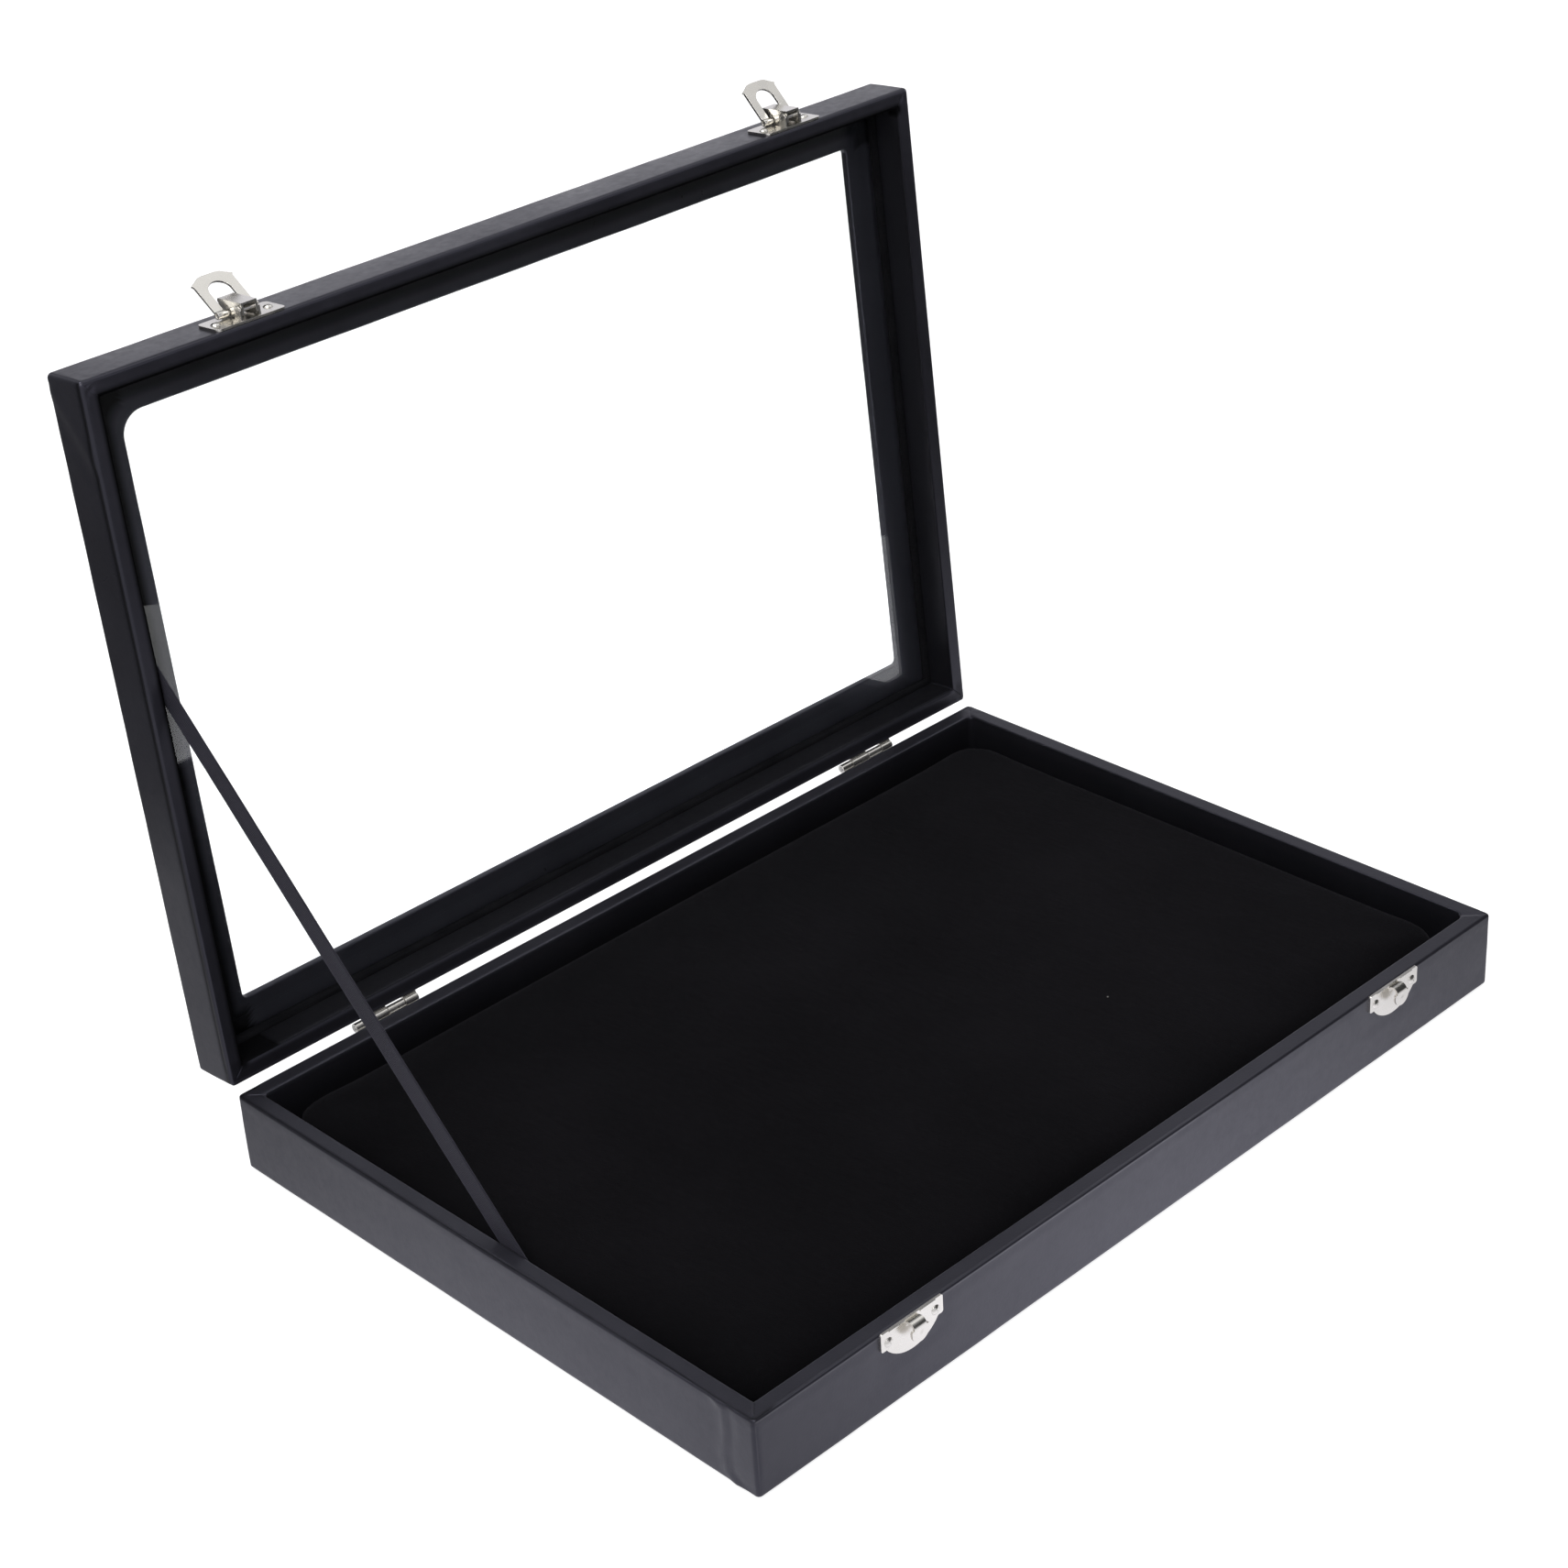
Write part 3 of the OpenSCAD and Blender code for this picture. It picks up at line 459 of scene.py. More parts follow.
def quarter(o, z, r, a0, a1, steps):
    """Rounded edge of a section: centre, radius and angles, in inset and height."""
    return [(o + r * math.cos(a), z + r * math.sin(a)) for a in np.radians(np.linspace(a0, a1, steps + 1))]


def even_inset(o):
    return o, o


def tube(section, half, radii, runs, inset=even_inset):
    """Grid of points: the section carried round the plan. radii(o, row) gives the four corner radii."""
    rows = []
    for row, (o, z) in enumerate(section):
        ox, oy = inset(o)
        loop = plan_loop(half[0] - ox, half[1] - oy, radii(o, row), runs)
        rows.append(np.c_[loop, np.full(len(loop), z)])
    return np.array(rows)


def grid_normals(grid):
    along = np.roll(grid, -1, 1) - np.roll(grid, 1, 1)
    across = np.roll(grid, -1, 0) - np.roll(grid, 1, 0)
    n = np.cross(along, across)
    return n / np.maximum(np.linalg.norm(n, axis=2, keepdims=True), 1e-9)


# What both coverings share
RUNS = side_runs(HALF_W, HALF_D)
PLACE = corner_places(RUNS)
RIM_ROWS = (1.4, 1.6, 1.8, 2.1, 2.5, 3.0, 3.6, 4.2, 4.6, 4.9, 5.2)  # insets across the rim
RIM_LAST_GAP = 0.25  # from the rim's last point to its inner rounding
RIM_CALM = 0.35  # share of the waves that the rim takes
RIM_SWELL = 0.12  # most that the rim swells
RIM_RISE = 0.1  # most that it stands past its own height
MITRE_W = 0.22  # width of a mitre, as a share of the corner's arc
SIDE_INSET = 0.2  # points with a smaller inset are on the outside
FACING = 0.8  # least share of a normal that makes a point face one way
WALL_ZONE, ZONE_FADE = 9, 2  # depth of what counts as along a wall, and its soft end
INNER_START, INNER_FADE = 0.5, 0.4  # where the inner face begins, before the wall's full thickness
CORNER_IN = 3.0  # inset of the corners' centres
CORNER_KEEP, THIN_EDGE = 4.2, 1.9  # reach and inset within which the corners are thin
THIN_SINK, MOST_SINK = -0.08, -0.45
REAR_SQUARE = 0.85  # how nearly square a crisp edge is
PRESSED, PRESS_FADE = 0.03, 2.5
PUCKER_REACH = 5.0


def near_line(a, b, pts):
    """Signed distance of points (a, b) from a broken line."""
    best = np.full(a.shape, 1e9)
    for (a0, b0), (a1, b1) in zip(pts, pts[1:]):
        da, db = a1 - a0, b1 - b0
        size = math.hypot(da, db)
        t = np.clip(((a - a0) * da + (b - b0) * db) / size**2, 0, 1)
        ra, rb = a - a0 - t * da, b - b0 - t * db
        d = np.hypot(ra, rb) * np.where(da * rb - db * ra < 0, -1.0, 1.0)
        best = np.where(np.abs(d) < np.abs(best), d, best)
    return best


def left_share(x):
    """One along the left wall, nothing elsewhere. With -x, the right wall."""
    return rise(-x, HALF_W - WALL_ZONE, ZONE_FADE)


def rear_share(y):
    """One along the rear wall, nothing elsewhere. With -y, the front wall."""
    return rise(y, HALF_D - WALL_ZONE, ZONE_FADE)


def blended_radii(o, inner):
    """Corner radii that change from the outside's to the inside's through the wall."""
    share = min(max(o / WALL_T, 0), 1)
    return [max((1 - share) * CORNER_R + share * r, 0.3) for r in inner]


def covering(section, radii, inset=even_inset):
    """A covering's grid, with the values by which its creases and folds are placed."""
    grid = tube(section, (HALF_W, HALF_D), radii, RUNS, inset)
    normal = grid_normals(grid)
    x, y, z = grid[..., 0], grid[..., 1], grid[..., 2]
    offs = np.array([o for o, _ in section])[:, None]
    outer = offs < SIDE_INSET
    return SimpleNamespace(
        grid=grid, normal=normal, x=x, y=y, z=z, offs=offs, outer=outer,
        row=np.arange(len(section))[:, None] + np.zeros_like(x),
        front=outer & (normal[..., 1] < -FACING),
        left=outer & (normal[..., 0] < -FACING),
        to_corner=np.hypot(HALF_W - CORNER_IN - np.abs(x), HALF_D - CORNER_IN - np.abs(y)),
    )


def pressed_flat(d, sheet, reach, heights):
    """The displacement d with the sheet pressed flat under the fittings, on the front and rear."""
    held = np.zeros_like(sheet.x)
    for fx in FITTING_X:
        held = np.maximum(held, hump(np.maximum(np.abs(sheet.x - fx) - reach, 0), PRESS_FADE) * heights)
    on_long = sheet.outer & (np.abs(sheet.normal[..., 1]) > FACING)
    return np.where(on_long, d * (1 - held) - PRESSED * held, d)


def kept_within(d, sheet, highest):
    """The displacement d as far as the sheet can take it, with hardly any sinking at the thin corners."""
    thin = (sheet.to_corner < CORNER_KEEP) & (sheet.offs < THIN_EDGE)
    return np.clip(d, np.where(thin, THIN_SINK, MOST_SINK), highest)


def squarer(normal, radius):
    """Outward step that takes a rounded edge of that radius most of the way to a square one."""
    return REAR_SQUARE * radius * np.clip(np.abs(normal[..., 1]) + np.abs(normal[..., 2]) - 1, 0, 1)


def rolled(offs, depth, small, big):
    """Inward step that opens the inner edge's small rounding to a big one. depth is below the rim."""
    along = np.clip(np.minimum(offs - WALL_T, -depth) + big, 0, big - small)
    return big - np.sqrt(big**2 - along**2)


def inner_face(sheet):
    """One from the walls' inner face inwards, nothing on the rim and the outside."""
    return rise(sheet.offs, WALL_T - INNER_START, INNER_FADE)


def cover_piece(name, body, node, points, shade):
    rows, cols = points.shape[:2]
    obj = mesh_object(name, points.reshape(-1, 3), loft_faces(rows, cols, closed=True))
    # The painted shade is stored as a mesh attribute that the leatherette reads
    values = np.clip(shade, 0, 1).ravel().astype(np.float32)
    obj.data.attributes.new("shade", "FLOAT", "POINT").data.foreach_set("value", values)
    finish_with(obj, LEATHERETTE)
    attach(obj, body)
    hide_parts(node)


# Base covering
BASE_FOOT_R, BASE_EDGE_R, BASE_INNER_R, BASE_ROLL = 0.9, 0.95, 0.5, 1.1
BASE_INNER_RADII = (1.0, 4.0, 2.6, 2.0)
BASE_UNDER_R = 0.25
BASE_UNDER = (BOARD_IN, 4.2, 2.8, 1.7)
BASE_SIDE = (2.1, 2.9, 4, 5.4, 7, 9, 11, 13, 15, 17, 18.5, 20, 21.4, 22.6, 23.5, 24.2, 24.7, 25.1, 25.5,
             25.9, 26.3, 26.8, 27.2)
BASE_INSIDE = (27.6, 27.2, 26.6, 25.6, 24, 22, 19.5, 17, 14, 11, 8, 5.4, FLOOR_Z)
FRONT_CREASE_X = (-175, -165, -147, -124, -100, -60, 0, 60, 110, 132, 145, 154, 163, 175)
FRONT_CREASE_Z = (28.1, 27.1, 26.3, 25.6, 25.8, 26.3, 27.0, 27.4, 27.9, 27.7, 26.6, 27.4, 28.0, 28.2)
SIDE_CREASE_Z = 27.9
CORNER_FOLD = ((-103.5, 28.6), (-107.2, 26.3), (-108.2, 19.2), (-106.9, 9.6), (-107.9, 3.5), (-112, 0.4),
               (-116, -0.3))
FOLD_SWELL_Y, FOLD_SWELL_Z = -114.5, 22.5
SEAM_IN = 1.1
BASE_GROOVE_IN, BASE_GROOVE = 0.7, 0.26
BASE_PRESS_REACH, BASE_PRESS_Z = 13.0, 14
CRISP_FRONT, CRISP_END, CRISP_FADE = 0.8, 40, 30  # share on the front, and where along it that ends
# Painted shade on the base's inside: its least, its most, how fast it darkens and the height it darkens from
BASE_SHADE, BASE_SHADE_LOW, BASE_SHADE_RATE, BASE_SHADE_Z = 0.42, 0.6, 0.06, 26  # inside, and deeper down
HEIGHT_ONLY = np.array([0, 0, 1.0])  # for noise that changes with the height alone


def base_section():
    """The closed section, and the first and last row of its rim."""
    section = [(o, BASE_Z0) for o in BASE_UNDER]
    section += quarter(BASE_FOOT_R, BASE_Z0 + BASE_FOOT_R, BASE_FOOT_R, 270, 180, 4)
    section += [(0.0, z) for z in BASE_SIDE]
    section += quarter(BASE_EDGE_R, BASE_H - BASE_EDGE_R, BASE_EDGE_R, 180, 90, 8)
    rim_start = len(section) - 5
    section += [(o, BASE_H) for o in (*RIM_ROWS, WALL_T - BASE_INNER_R - RIM_LAST_GAP)]
    section += quarter(WALL_T - BASE_INNER_R, BASE_H - BASE_INNER_R, BASE_INNER_R, 90, 0, 4)
    rim_end = len(section) - 2
    section += [(WALL_T, z) for z in BASE_INSIDE]
    section += [(BOARD_IN, FLOOR_Z), (BOARD_IN, BASE_Z0 + 1.5)]
    return section, rim_start, rim_end


def base_radii(o, row):
    if row < len(BASE_UNDER):
        return [BASE_UNDER_R] * 4
    if row == len(BASE_UNDER):
        return [CORNER_R] * 4
    return blended_radii(o, BASE_INNER_RADII)


def base_swell(sheet):
    """Slight waves, the swell of each side and the soft crease below the rim."""
    grid, z = sheet.grid, sheet.z
    d = np.where(sheet.rim, RIM_CALM, 1.0) * waves(grid, (0.10, 42.0, 0.0), (0.05, 13.0, 7.0))
    belly = np.sin(np.pi * rise(z, 1, 26))
    d += sheet.outer * 0.16 * belly * (0.6 + 0.5 * bumps(grid, 70.0, 3.0))
    on_long = np.abs(sheet.normal[..., 1]) > np.abs(sheet.normal[..., 0])
    crease = np.where(on_long, np.interp(sheet.x, FRONT_CREASE_X, FRONT_CREASE_Z),
                      SIDE_CREASE_Z + 0.3 * bumps(grid, 30.0, 5.0))
    return d + sheet.outer * (0.05 * hump(z - crease + 2.2, 1.8) + 0.035 * bumps(grid, 7.0, 8.0))


def base_front_left(sheet):
    """The fold beside the front left corner, on the left side, and the seam on the front."""
    fold = near_line(sheet.y, sheet.z, CORNER_FOLD)
    d = 0.33 * hump(fold, 1.2) - 0.17 * hump(fold + 2.3, 1.5) - 0.04 * hump(fold - 3.0, 2.0)
    d += 0.12 * hump(np.hypot(sheet.y - FOLD_SWELL_Y, (sheet.z - FOLD_SWELL_Z) * 0.7), 3.6)
    seam = sheet.x + HALF_W - SEAM_IN - 0.12 * bumps(sheet.grid * HEIGHT_ONLY, 1.6, 2.0)
    return sheet.left * d + sheet.front * (0.10 * hump(seam + 0.7, 0.4) - 0.26 * hump(seam, 0.32))


def base_rim(sheet, groove):
    """Mitred corners, the groove along the left rim and small puckers at the corners."""
    d = 0.26 * hump(PLACE, MITRE_W)
    worn = 0.75 + 0.5 * bumps(sheet.grid, 50.0, 16.0)
    d = d + left_share(sheet.x) * BASE_GROOVE * hump(groove, 0.4) * worn
    puckers = hump(sheet.to_corner, PUCKER_REACH) * (sheet.z > 24) * 0.10 * bumps(sheet.grid, 1.9, 11.0)
    return puckers - sheet.rim * d


def base_edges(sheet):
    """Crisper outer edges at the rear and the front's left half, and a rolled inner edge at the rear."""
    rear = rear_share(sheet.y)
    front_left = CRISP_FRONT * rear_share(-sheet.y) * fade(sheet.x, CRISP_END, CRISP_FADE)
    outer_edge = (sheet.offs < 1) * (sheet.z > BASE_H - 1.2)
    d = np.maximum(rear, front_left) * squarer(sheet.normal, BASE_EDGE_R) * outer_edge
    return d - rear * rolled(sheet.offs, BASE_H - sheet.z, BASE_INNER_R, BASE_ROLL)


def base_covering():
    section, rim_start, rim_end = base_section()
    sheet = covering(section, base_radii)
    sheet.rim = (sheet.row >= rim_start) & (sheet.row <= rim_end)
    groove = sheet.offs - BASE_GROOVE_IN - 0.2 * bumps(sheet.grid, 24.0, 15.0)
    d = base_swell(sheet) + base_front_left(sheet) + base_rim(sheet, groove)
    d = pressed_flat(d, sheet, BASE_PRESS_REACH, sheet.z > BASE_PRESS_Z)
    d = kept_within(d, sheet, np.where(sheet.rim, RIM_SWELL, 0.5)) + base_edges(sheet)
    points = sheet.grid + sheet.normal * d[..., None]
    points[..., 2] = np.minimum(points[..., 2], BASE_H + RIM_RISE)
    # Painted shade on the inside, darker deeper down, and in the groove along the left rim
    deeper = BASE_SHADE + BASE_SHADE_RATE * (BASE_SHADE_Z - sheet.z)
    shade = inner_face(sheet) * np.clip(deeper, BASE_SHADE, BASE_SHADE_LOW)
    shade += left_share(sheet.x) * 0.75 * hump(groove, 0.45) * (sheet.z > 26.5)
    cover_piece("base_cover", "base", "base_wrap", points, shade)


base_covering()


# Lid covering, shaped closed and turned open at the end
LID_EDGE_R, LID_INNER_R, LID_ROLL = 1.2, 0.45, 1.7
LID_INNER_RADII = (0.8, 0.8, 0.8, 0.8)
WINDOW_EDGE_R, WINDOW_BACK_R = 0.9, 0.6
LID_SIDE = (30.3, 30.7, 31.2, 31.8, 32.6, 33.6, 35, 36.6, 38.2, 39.8, 41.4, 43, 44.2, 45.2)
LID_TOP = (1.8, 2.6, 4, 6, 8, 10, 12, 14, 15.8, 17.2, 18.1)
WINDOW_MID_Z = 45.6
LID_UNDER = (18.3, 17.2, 16, 14.4, 12.8, 11.2, 9.6, 8.2, 7.0)
LID_UNDER_R = 0.6
LID_INSIDE = (43.2, 42, 40.5, 39, 37.4, 35.8, 34.2, 32.8, 31.6, 30.8, 30.4, 30.0, 29.6, 29.35)
LID_RIM_END = 5  # last row of the rim's outer edge
SIDE_WRINKLE = ((-114, 44), (-109.5, 41), (-103, 35.3), (-95.4, 30.3))
LID_GROOVE_Z, LID_GROOVE = LID_Z0 + 1.7, 0.26
LID_CREASE_Z = 29.3
KNOT_X, KNOT_Y = 171.8, 117.2
LONG_TUCK = ((161, -108), (164.5, -98), (163.5, -90))
SHORT_TUCK = ((155, -95.5), (161, -94.5))
TUCK_X, TUCK_Y = 164, -97
PANEL_CORNER_X, PANEL_CORNER_Y = 161, 106
LID_PRESS_REACH, LID_PRESS_Z = 13.5, 44
# Painted shade on the lid's covering: the inside, the margins behind the pane, the rear rim and the inner
# edge
LEFT_SHADE, LID_SHADE = 1.0, 0.72  # the inside at the left, and the rest of it
LEFT_MARGIN, FRONT_MARGIN, REAR_RIM = (16.4, 0.9), (16.2, 2.4), (4.6, 0.6)  # inset where each ends, and fade
INNER_EDGE, INNER_EDGE_Z = (3.8, 1.4), 33


def lid_section():
    """The closed section, and the rows at which its faces change."""
    section = quarter(LID_EDGE_R, LID_Z0 + LID_EDGE_R, LID_EDGE_R, 270, 180, 8)
    section += [(0.0, z) for z in LID_SIDE]
    section += quarter(LID_EDGE_R, LID_Z1 - LID_EDGE_R, LID_EDGE_R, 180, 90, 6)
    side_end = len(section) - 4
    section += [(o, LID_Z1) for o in LID_TOP]
    section += quarter(WINDOW_SIDE - WINDOW_EDGE_R, LID_Z1 - WINDOW_EDGE_R, WINDOW_EDGE_R, 90, 0, 4)
    section += [(WINDOW_SIDE, WINDOW_MID_Z)]
    section += quarter(WINDOW_SIDE - WINDOW_BACK_R, PANEL_IN_Z + WINDOW_BACK_R, WINDOW_BACK_R, 0, -90, 4)
    under_start = len(section) - 1
    section += [(o, PANEL_IN_Z) for o in LID_UNDER]
    under_end = len(section)
    section += [(WALL_T + 0.15, PANEL_IN_Z - 0.15)]
    section += [(WALL_T, z) for z in LID_INSIDE]
    section += quarter(WALL_T - LID_INNER_R, LID_Z0 + LID_INNER_R, LID_INNER_R, 0, -90, 4)
    rim_start = len(section) - 3
    section += [(o, LID_Z0) for o in reversed((*RIM_ROWS, WALL_T - LID_INNER_R - RIM_LAST_GAP))]
    return section, SimpleNamespace(side_end=side_end, under_start=under_start, under_end=under_end,
                                    rim_start=rim_start)


def lid_radii(marks):
    """The corner radii's function: the case's at the outside, growing to the window's over the panel."""
    def radii(o, row):
        if not marks.side_end <= row <= marks.under_end:
            return blended_radii(o, LID_INNER_RADII)
        start, near = (CORNER_R, 0.0) if row < marks.under_start else (LID_UNDER_R, WALL_T)
        share = min(max((o - near) / (WINDOW_SIDE - near), 0), 1)
        return [start + (r - start) * share for r in WINDOW_RADII]
    return radii


def lid_inset(o):
    """Insets from the sides and from the ends, which differ a little at the window."""
    beyond = max(o - WALL_T, 0)
    return o, o - beyond * (WINDOW_SIDE - WINDOW_END) / (WINDOW_SIDE - WALL_T)


def lid_swell(sheet):
    """Slight waves, the swell of each side and the soft crease along the rim's outer edge."""
    grid, z = sheet.grid, sheet.z
    calm = np.where(sheet.rim, RIM_CALM, np.where(sheet.under, 0.5, 1.0))
    d = calm * waves(grid, (0.10, 42.0, 20.0), (0.05, 13.0, 27.0))
    belly = np.sin(np.pi * rise(z, 29.5, 17))
    d += sheet.outer * 0.14 * belly * (0.6 + 0.5 * bumps(grid, 70.0, 23.0))
    d += sheet.outer * 0.035 * bumps(grid, 7.0, 28.0)
    crease = LID_CREASE_Z + 0.35 * bumps(grid, 28.0, 25.0)
    return d - (sheet.offs < 1.5) * 0.06 * hump(z - crease, 0.6)


def lid_left(sheet, groove):
    """The slanting wrinkle and the groove on the left side."""
    wrinkle = near_line(sheet.y, sheet.z, SIDE_WRINKLE)
    worn = 0.75 + 0.5 * bumps(sheet.grid, 50.0, 36.0)
    d = 0.30 * hump(wrinkle, 3.2) - 0.12 * hump(wrinkle - 5.0, 3.0)
    return sheet.left * (d - LID_GROOVE * hump(groove, 0.8) * worn)


def lid_corners(sheet):
    """Mitres, the bunched sheet at the two front corners and small puckers at all four."""
    left_knot = hump(np.hypot(sheet.x + KNOT_X, sheet.y + KNOT_Y), 2.2)
    right_knot = hump(np.hypot(sheet.x - KNOT_X, sheet.y + KNOT_Y), 2.0)
    knots = (left_knot + 0.5 * right_knot) * (0.7 * bumps(sheet.grid, 1.5, 33.0) - 0.2)
    puckers = hump(sheet.to_corner, PUCKER_REACH) * (sheet.z < 32) * 0.12 * bumps(sheet.grid, 1.7, 31.0)
    return sheet.rim * (knots - 0.24 * hump(PLACE, MITRE_W)) + puckers


def lid_tucks(sheet):
    """Tucks on the panel's inside: two folds at the front right, and small ones at every corner."""
    x, y = sheet.x, sheet.y
    d = -0.35 * hump(near_line(x, y, LONG_TUCK), 0.8) - 0.2 * hump(near_line(x, y, SHORT_TUCK), 0.6)
    d -= 0.1 * hump(np.hypot(x - TUCK_X, (y - TUCK_Y) * 0.6), 6.0)
    at_corner = hump(np.hypot(np.abs(x) - PANEL_CORNER_X, np.abs(y) - PANEL_CORNER_Y), 9.0)
    return sheet.under * (d + np.clip(0.25 * bumps(sheet.grid, 9.0, 41.0) * at_corner, -0.3, 0))


def lid_edges(sheet):
    """A crisper outer edge at the rear, and a rolled inner edge on all but the right rail."""
    outer_edge = (sheet.offs < 1.3) * (sheet.z < LID_Z0 + 1.4)
    d = rear_share(sheet.y) * squarer(sheet.normal, LID_EDGE_R) * outer_edge
    return d - (1 - left_share(-sheet.x)) * rolled(sheet.offs, sheet.z - LID_Z0, LID_INNER_R, LID_ROLL)


def lid_shade(sheet, marks, groove):
    """Painted shade: the inside, the folds, the rim's edges and the margins behind the pane, darkened in
    colour and in reflection.
    """
    offs = sheet.offs
    at_left = sheet.x < -HALF_W + WINDOW_SIDE + 1
    at_front = sheet.y < -HALF_D + WINDOW_END + 1
    margin = np.where(at_left, fade(offs, *LEFT_MARGIN), 0.8 * at_front * fade(offs, *FRONT_MARGIN))
    rear_rim = rear_share(sheet.y) * (sheet.row > marks.rim_start) * fade(offs, *REAR_RIM)
    front_or_left = np.maximum(rear_share(-sheet.y), left_share(sheet.x))
    inner_edge = front_or_left * (sheet.z < INNER_EDGE_Z) * rise(offs, *INNER_EDGE)
    inside = inner_face(sheet) * (sheet.row > marks.under_end)
    shade = np.where(at_left, LEFT_SHADE, LID_SHADE) * inside + sheet.left * 0.8 * hump(groove, 0.85)
    return shade + sheet.under * margin + 0.35 * rear_rim + inner_edge


def lid_covering():
    section, marks = lid_section()
    sheet = covering(section, lid_radii(marks), lid_inset)
    sheet.rim = (sheet.row <= LID_RIM_END) | (sheet.row >= marks.rim_start)
    sheet.under = (sheet.row >= marks.under_start) & (sheet.row <= marks.under_end)
    groove = sheet.z - LID_GROOVE_Z - 0.3 * bumps(sheet.grid, 24.0, 35.0)
    d = lid_swell(sheet) + lid_left(sheet, groove) + lid_corners(sheet) + lid_tucks(sheet)
    d = pressed_flat(d, sheet, LID_PRESS_REACH, sheet.z < LID_PRESS_Z)
    highest = np.where(sheet.rim, RIM_SWELL, np.where(sheet.under, 0.0, 0.4))
    d = kept_within(d, sheet, highest) + lid_edges(sheet)
    points = sheet.grid + sheet.normal * d[..., None]
    points[..., 2] = np.maximum(points[..., 2], LID_Z0 - RIM_RISE)
    cover_piece("lid_cover", "lid", "lid_wrap", to_open(points), lid_shade(sheet, marks, groove))


lid_covering()


# Velvet pad
PAD_SWELL = 1.1  # most that the cloth moves
PAD_VOXEL = 0.004  # in metres
PAD_SIDE_IN, PAD_LOW = 0.3, 1.2  # how much smaller the pad starts at its sides and its top
PAD_HELD_Z = 0.008  # in metres, the height below which the cloth is held
CLOTH_FRAMES = 20
TOUCH = 0.05  # gap to what the pad lies on


def pad_form():
    """Closed pad, a little low, before the cloth is blown up."""
    low, high = FLOOR_Z + 0.1, PAD_TOP - PAD_LOW
    rings = [(6.0, low), (2.5, low), (0.9, low + 0.4), (0.7, low + 1.6), (0.5, low + 4)]
    rings += [(PAD_SIDE_IN, low + 8)]
    rings += quarter(PAD_SIDE_IN + PAD_ROLL, high - PAD_ROLL, PAD_ROLL, 180, 90, 5)

    def radii(o, row):
        return [max(PAD_R - o, 1.0)] * 4

    grid = tube(rings, (PAD_X, PAD_Y), radii, side_runs(PAD_X, PAD_Y))
    return mesh_object("velvet_pad", grid.reshape(-1, 3), loft_faces(*grid.shape[:2]))


def blow_up(obj):
    """Cloth under slight pressure over the foam, its lower edge held, with the movement capped softly."""
    before = coords_of(obj.data)
    held = obj.vertex_groups.new(name="held")
    held.add([int(i) for i in np.nonzero(before[:, 2] < PAD_HELD_Z)[0]], 1.0, "REPLACE")
    settings = obj.modifiers.new("cloth", "CLOTH").settings
    settings.use_pressure = True
    settings.uniform_pressure_force = 4.0
    settings.effector_weights.gravity = 0
    settings.vertex_group_mass = "held"
    settings.tension_stiffness = 30
    settings.compression_stiffness = 30
    settings.bending_stiffness = 4
    settings.quality = 5
    scene = bpy.context.scene
    for step in range(1, CLOTH_FRAMES + 1):
        scene.frame_set(step)
    apply_modifiers(obj)
    move = coords_of(obj.data) - before
    size = np.linalg.norm(move, axis=1, keepdims=True)
    cap = PAD_SWELL * MM
    after = before + move / np.maximum(size, 1e-9) * cap * np.tanh(size / (3 * cap))
    obj.data.vertices.foreach_set("co", after.ravel())
    scene.frame_set(1)


def settle_pad(obj):
    """A gently uneven top, sides inside the walls, and an underside that rests on the board."""
    p = coords_of(obj.data) / MM
    top = rise(p[:, 2], 20, 3)
    p[:, 2] += top * waves(p, (0.22, 38.0, 50.0), (0.08, 11.0, 57.0))
    p[:, 0] = np.clip(p[:, 0], -PAD_X, PAD_X)
    p[:, 1] = np.clip(p[:, 1], -PAD_Y, PAD_Y)
    under = (p[:, 2] < 6) & (np.abs(p[:, 0]) < CORE_X) & (np.abs(p[:, 1]) < CORE_Y)
    p[under, 2] = BOARD_TOP + TOUCH
    p[:, 2] = np.maximum(p[:, 2], FLOOR_Z + TOUCH)
    obj.data.vertices.foreach_set("co", (p * MM).ravel())
    obj.data.update()


def velvet_pad():
    obj = pad_form()
    even = obj.modifiers.new("even", "REMESH")
    even.mode = "VOXEL"
    even.voxel_size = PAD_VOXEL
    apply_modifiers(obj)
    blow_up(obj)
    soften = obj.modifiers.new("soften", "SMOOTH")
    soften.factor = 0.5
    soften.iterations = 4
    fine = obj.modifiers.new("fine", "SUBSURF")
    fine.levels = fine.render_levels = 1
    apply_modifiers(obj)
    settle_pad(obj)
    finish_with(obj, VELVET)
    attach(obj, "base")
    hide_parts("pad_cover", "pad_foam")


velvet_pad()


# Ribbon stay
RIBBON_HALF_T, RIBBON_EDGE = 0.26, 0.25  # half its thickness, and the width of its rounded edge
RIBBON_ACROSS, RIBBON_ALONG = 13, 121  # points across and along it
RIBBON_BOW, RIBBON_CUP, RIBBON_FRAY = 0.12, 0.12, 0.07


def ribbon_ring():
    """Section of the ribbon: place across it and distance from its middle."""
    half = STRAP_W / 2
    across = np.linspace(-half + RIBBON_EDGE, half - RIBBON_EDGE, RIBBON_ACROSS)
    ring = [(v, RIBBON_HALF_T) for v in across] + [(half, 0.0)]
    return ring + [(v, -RIBBON_HALF_T) for v in reversed(across)] + [(-half, 0.0)]


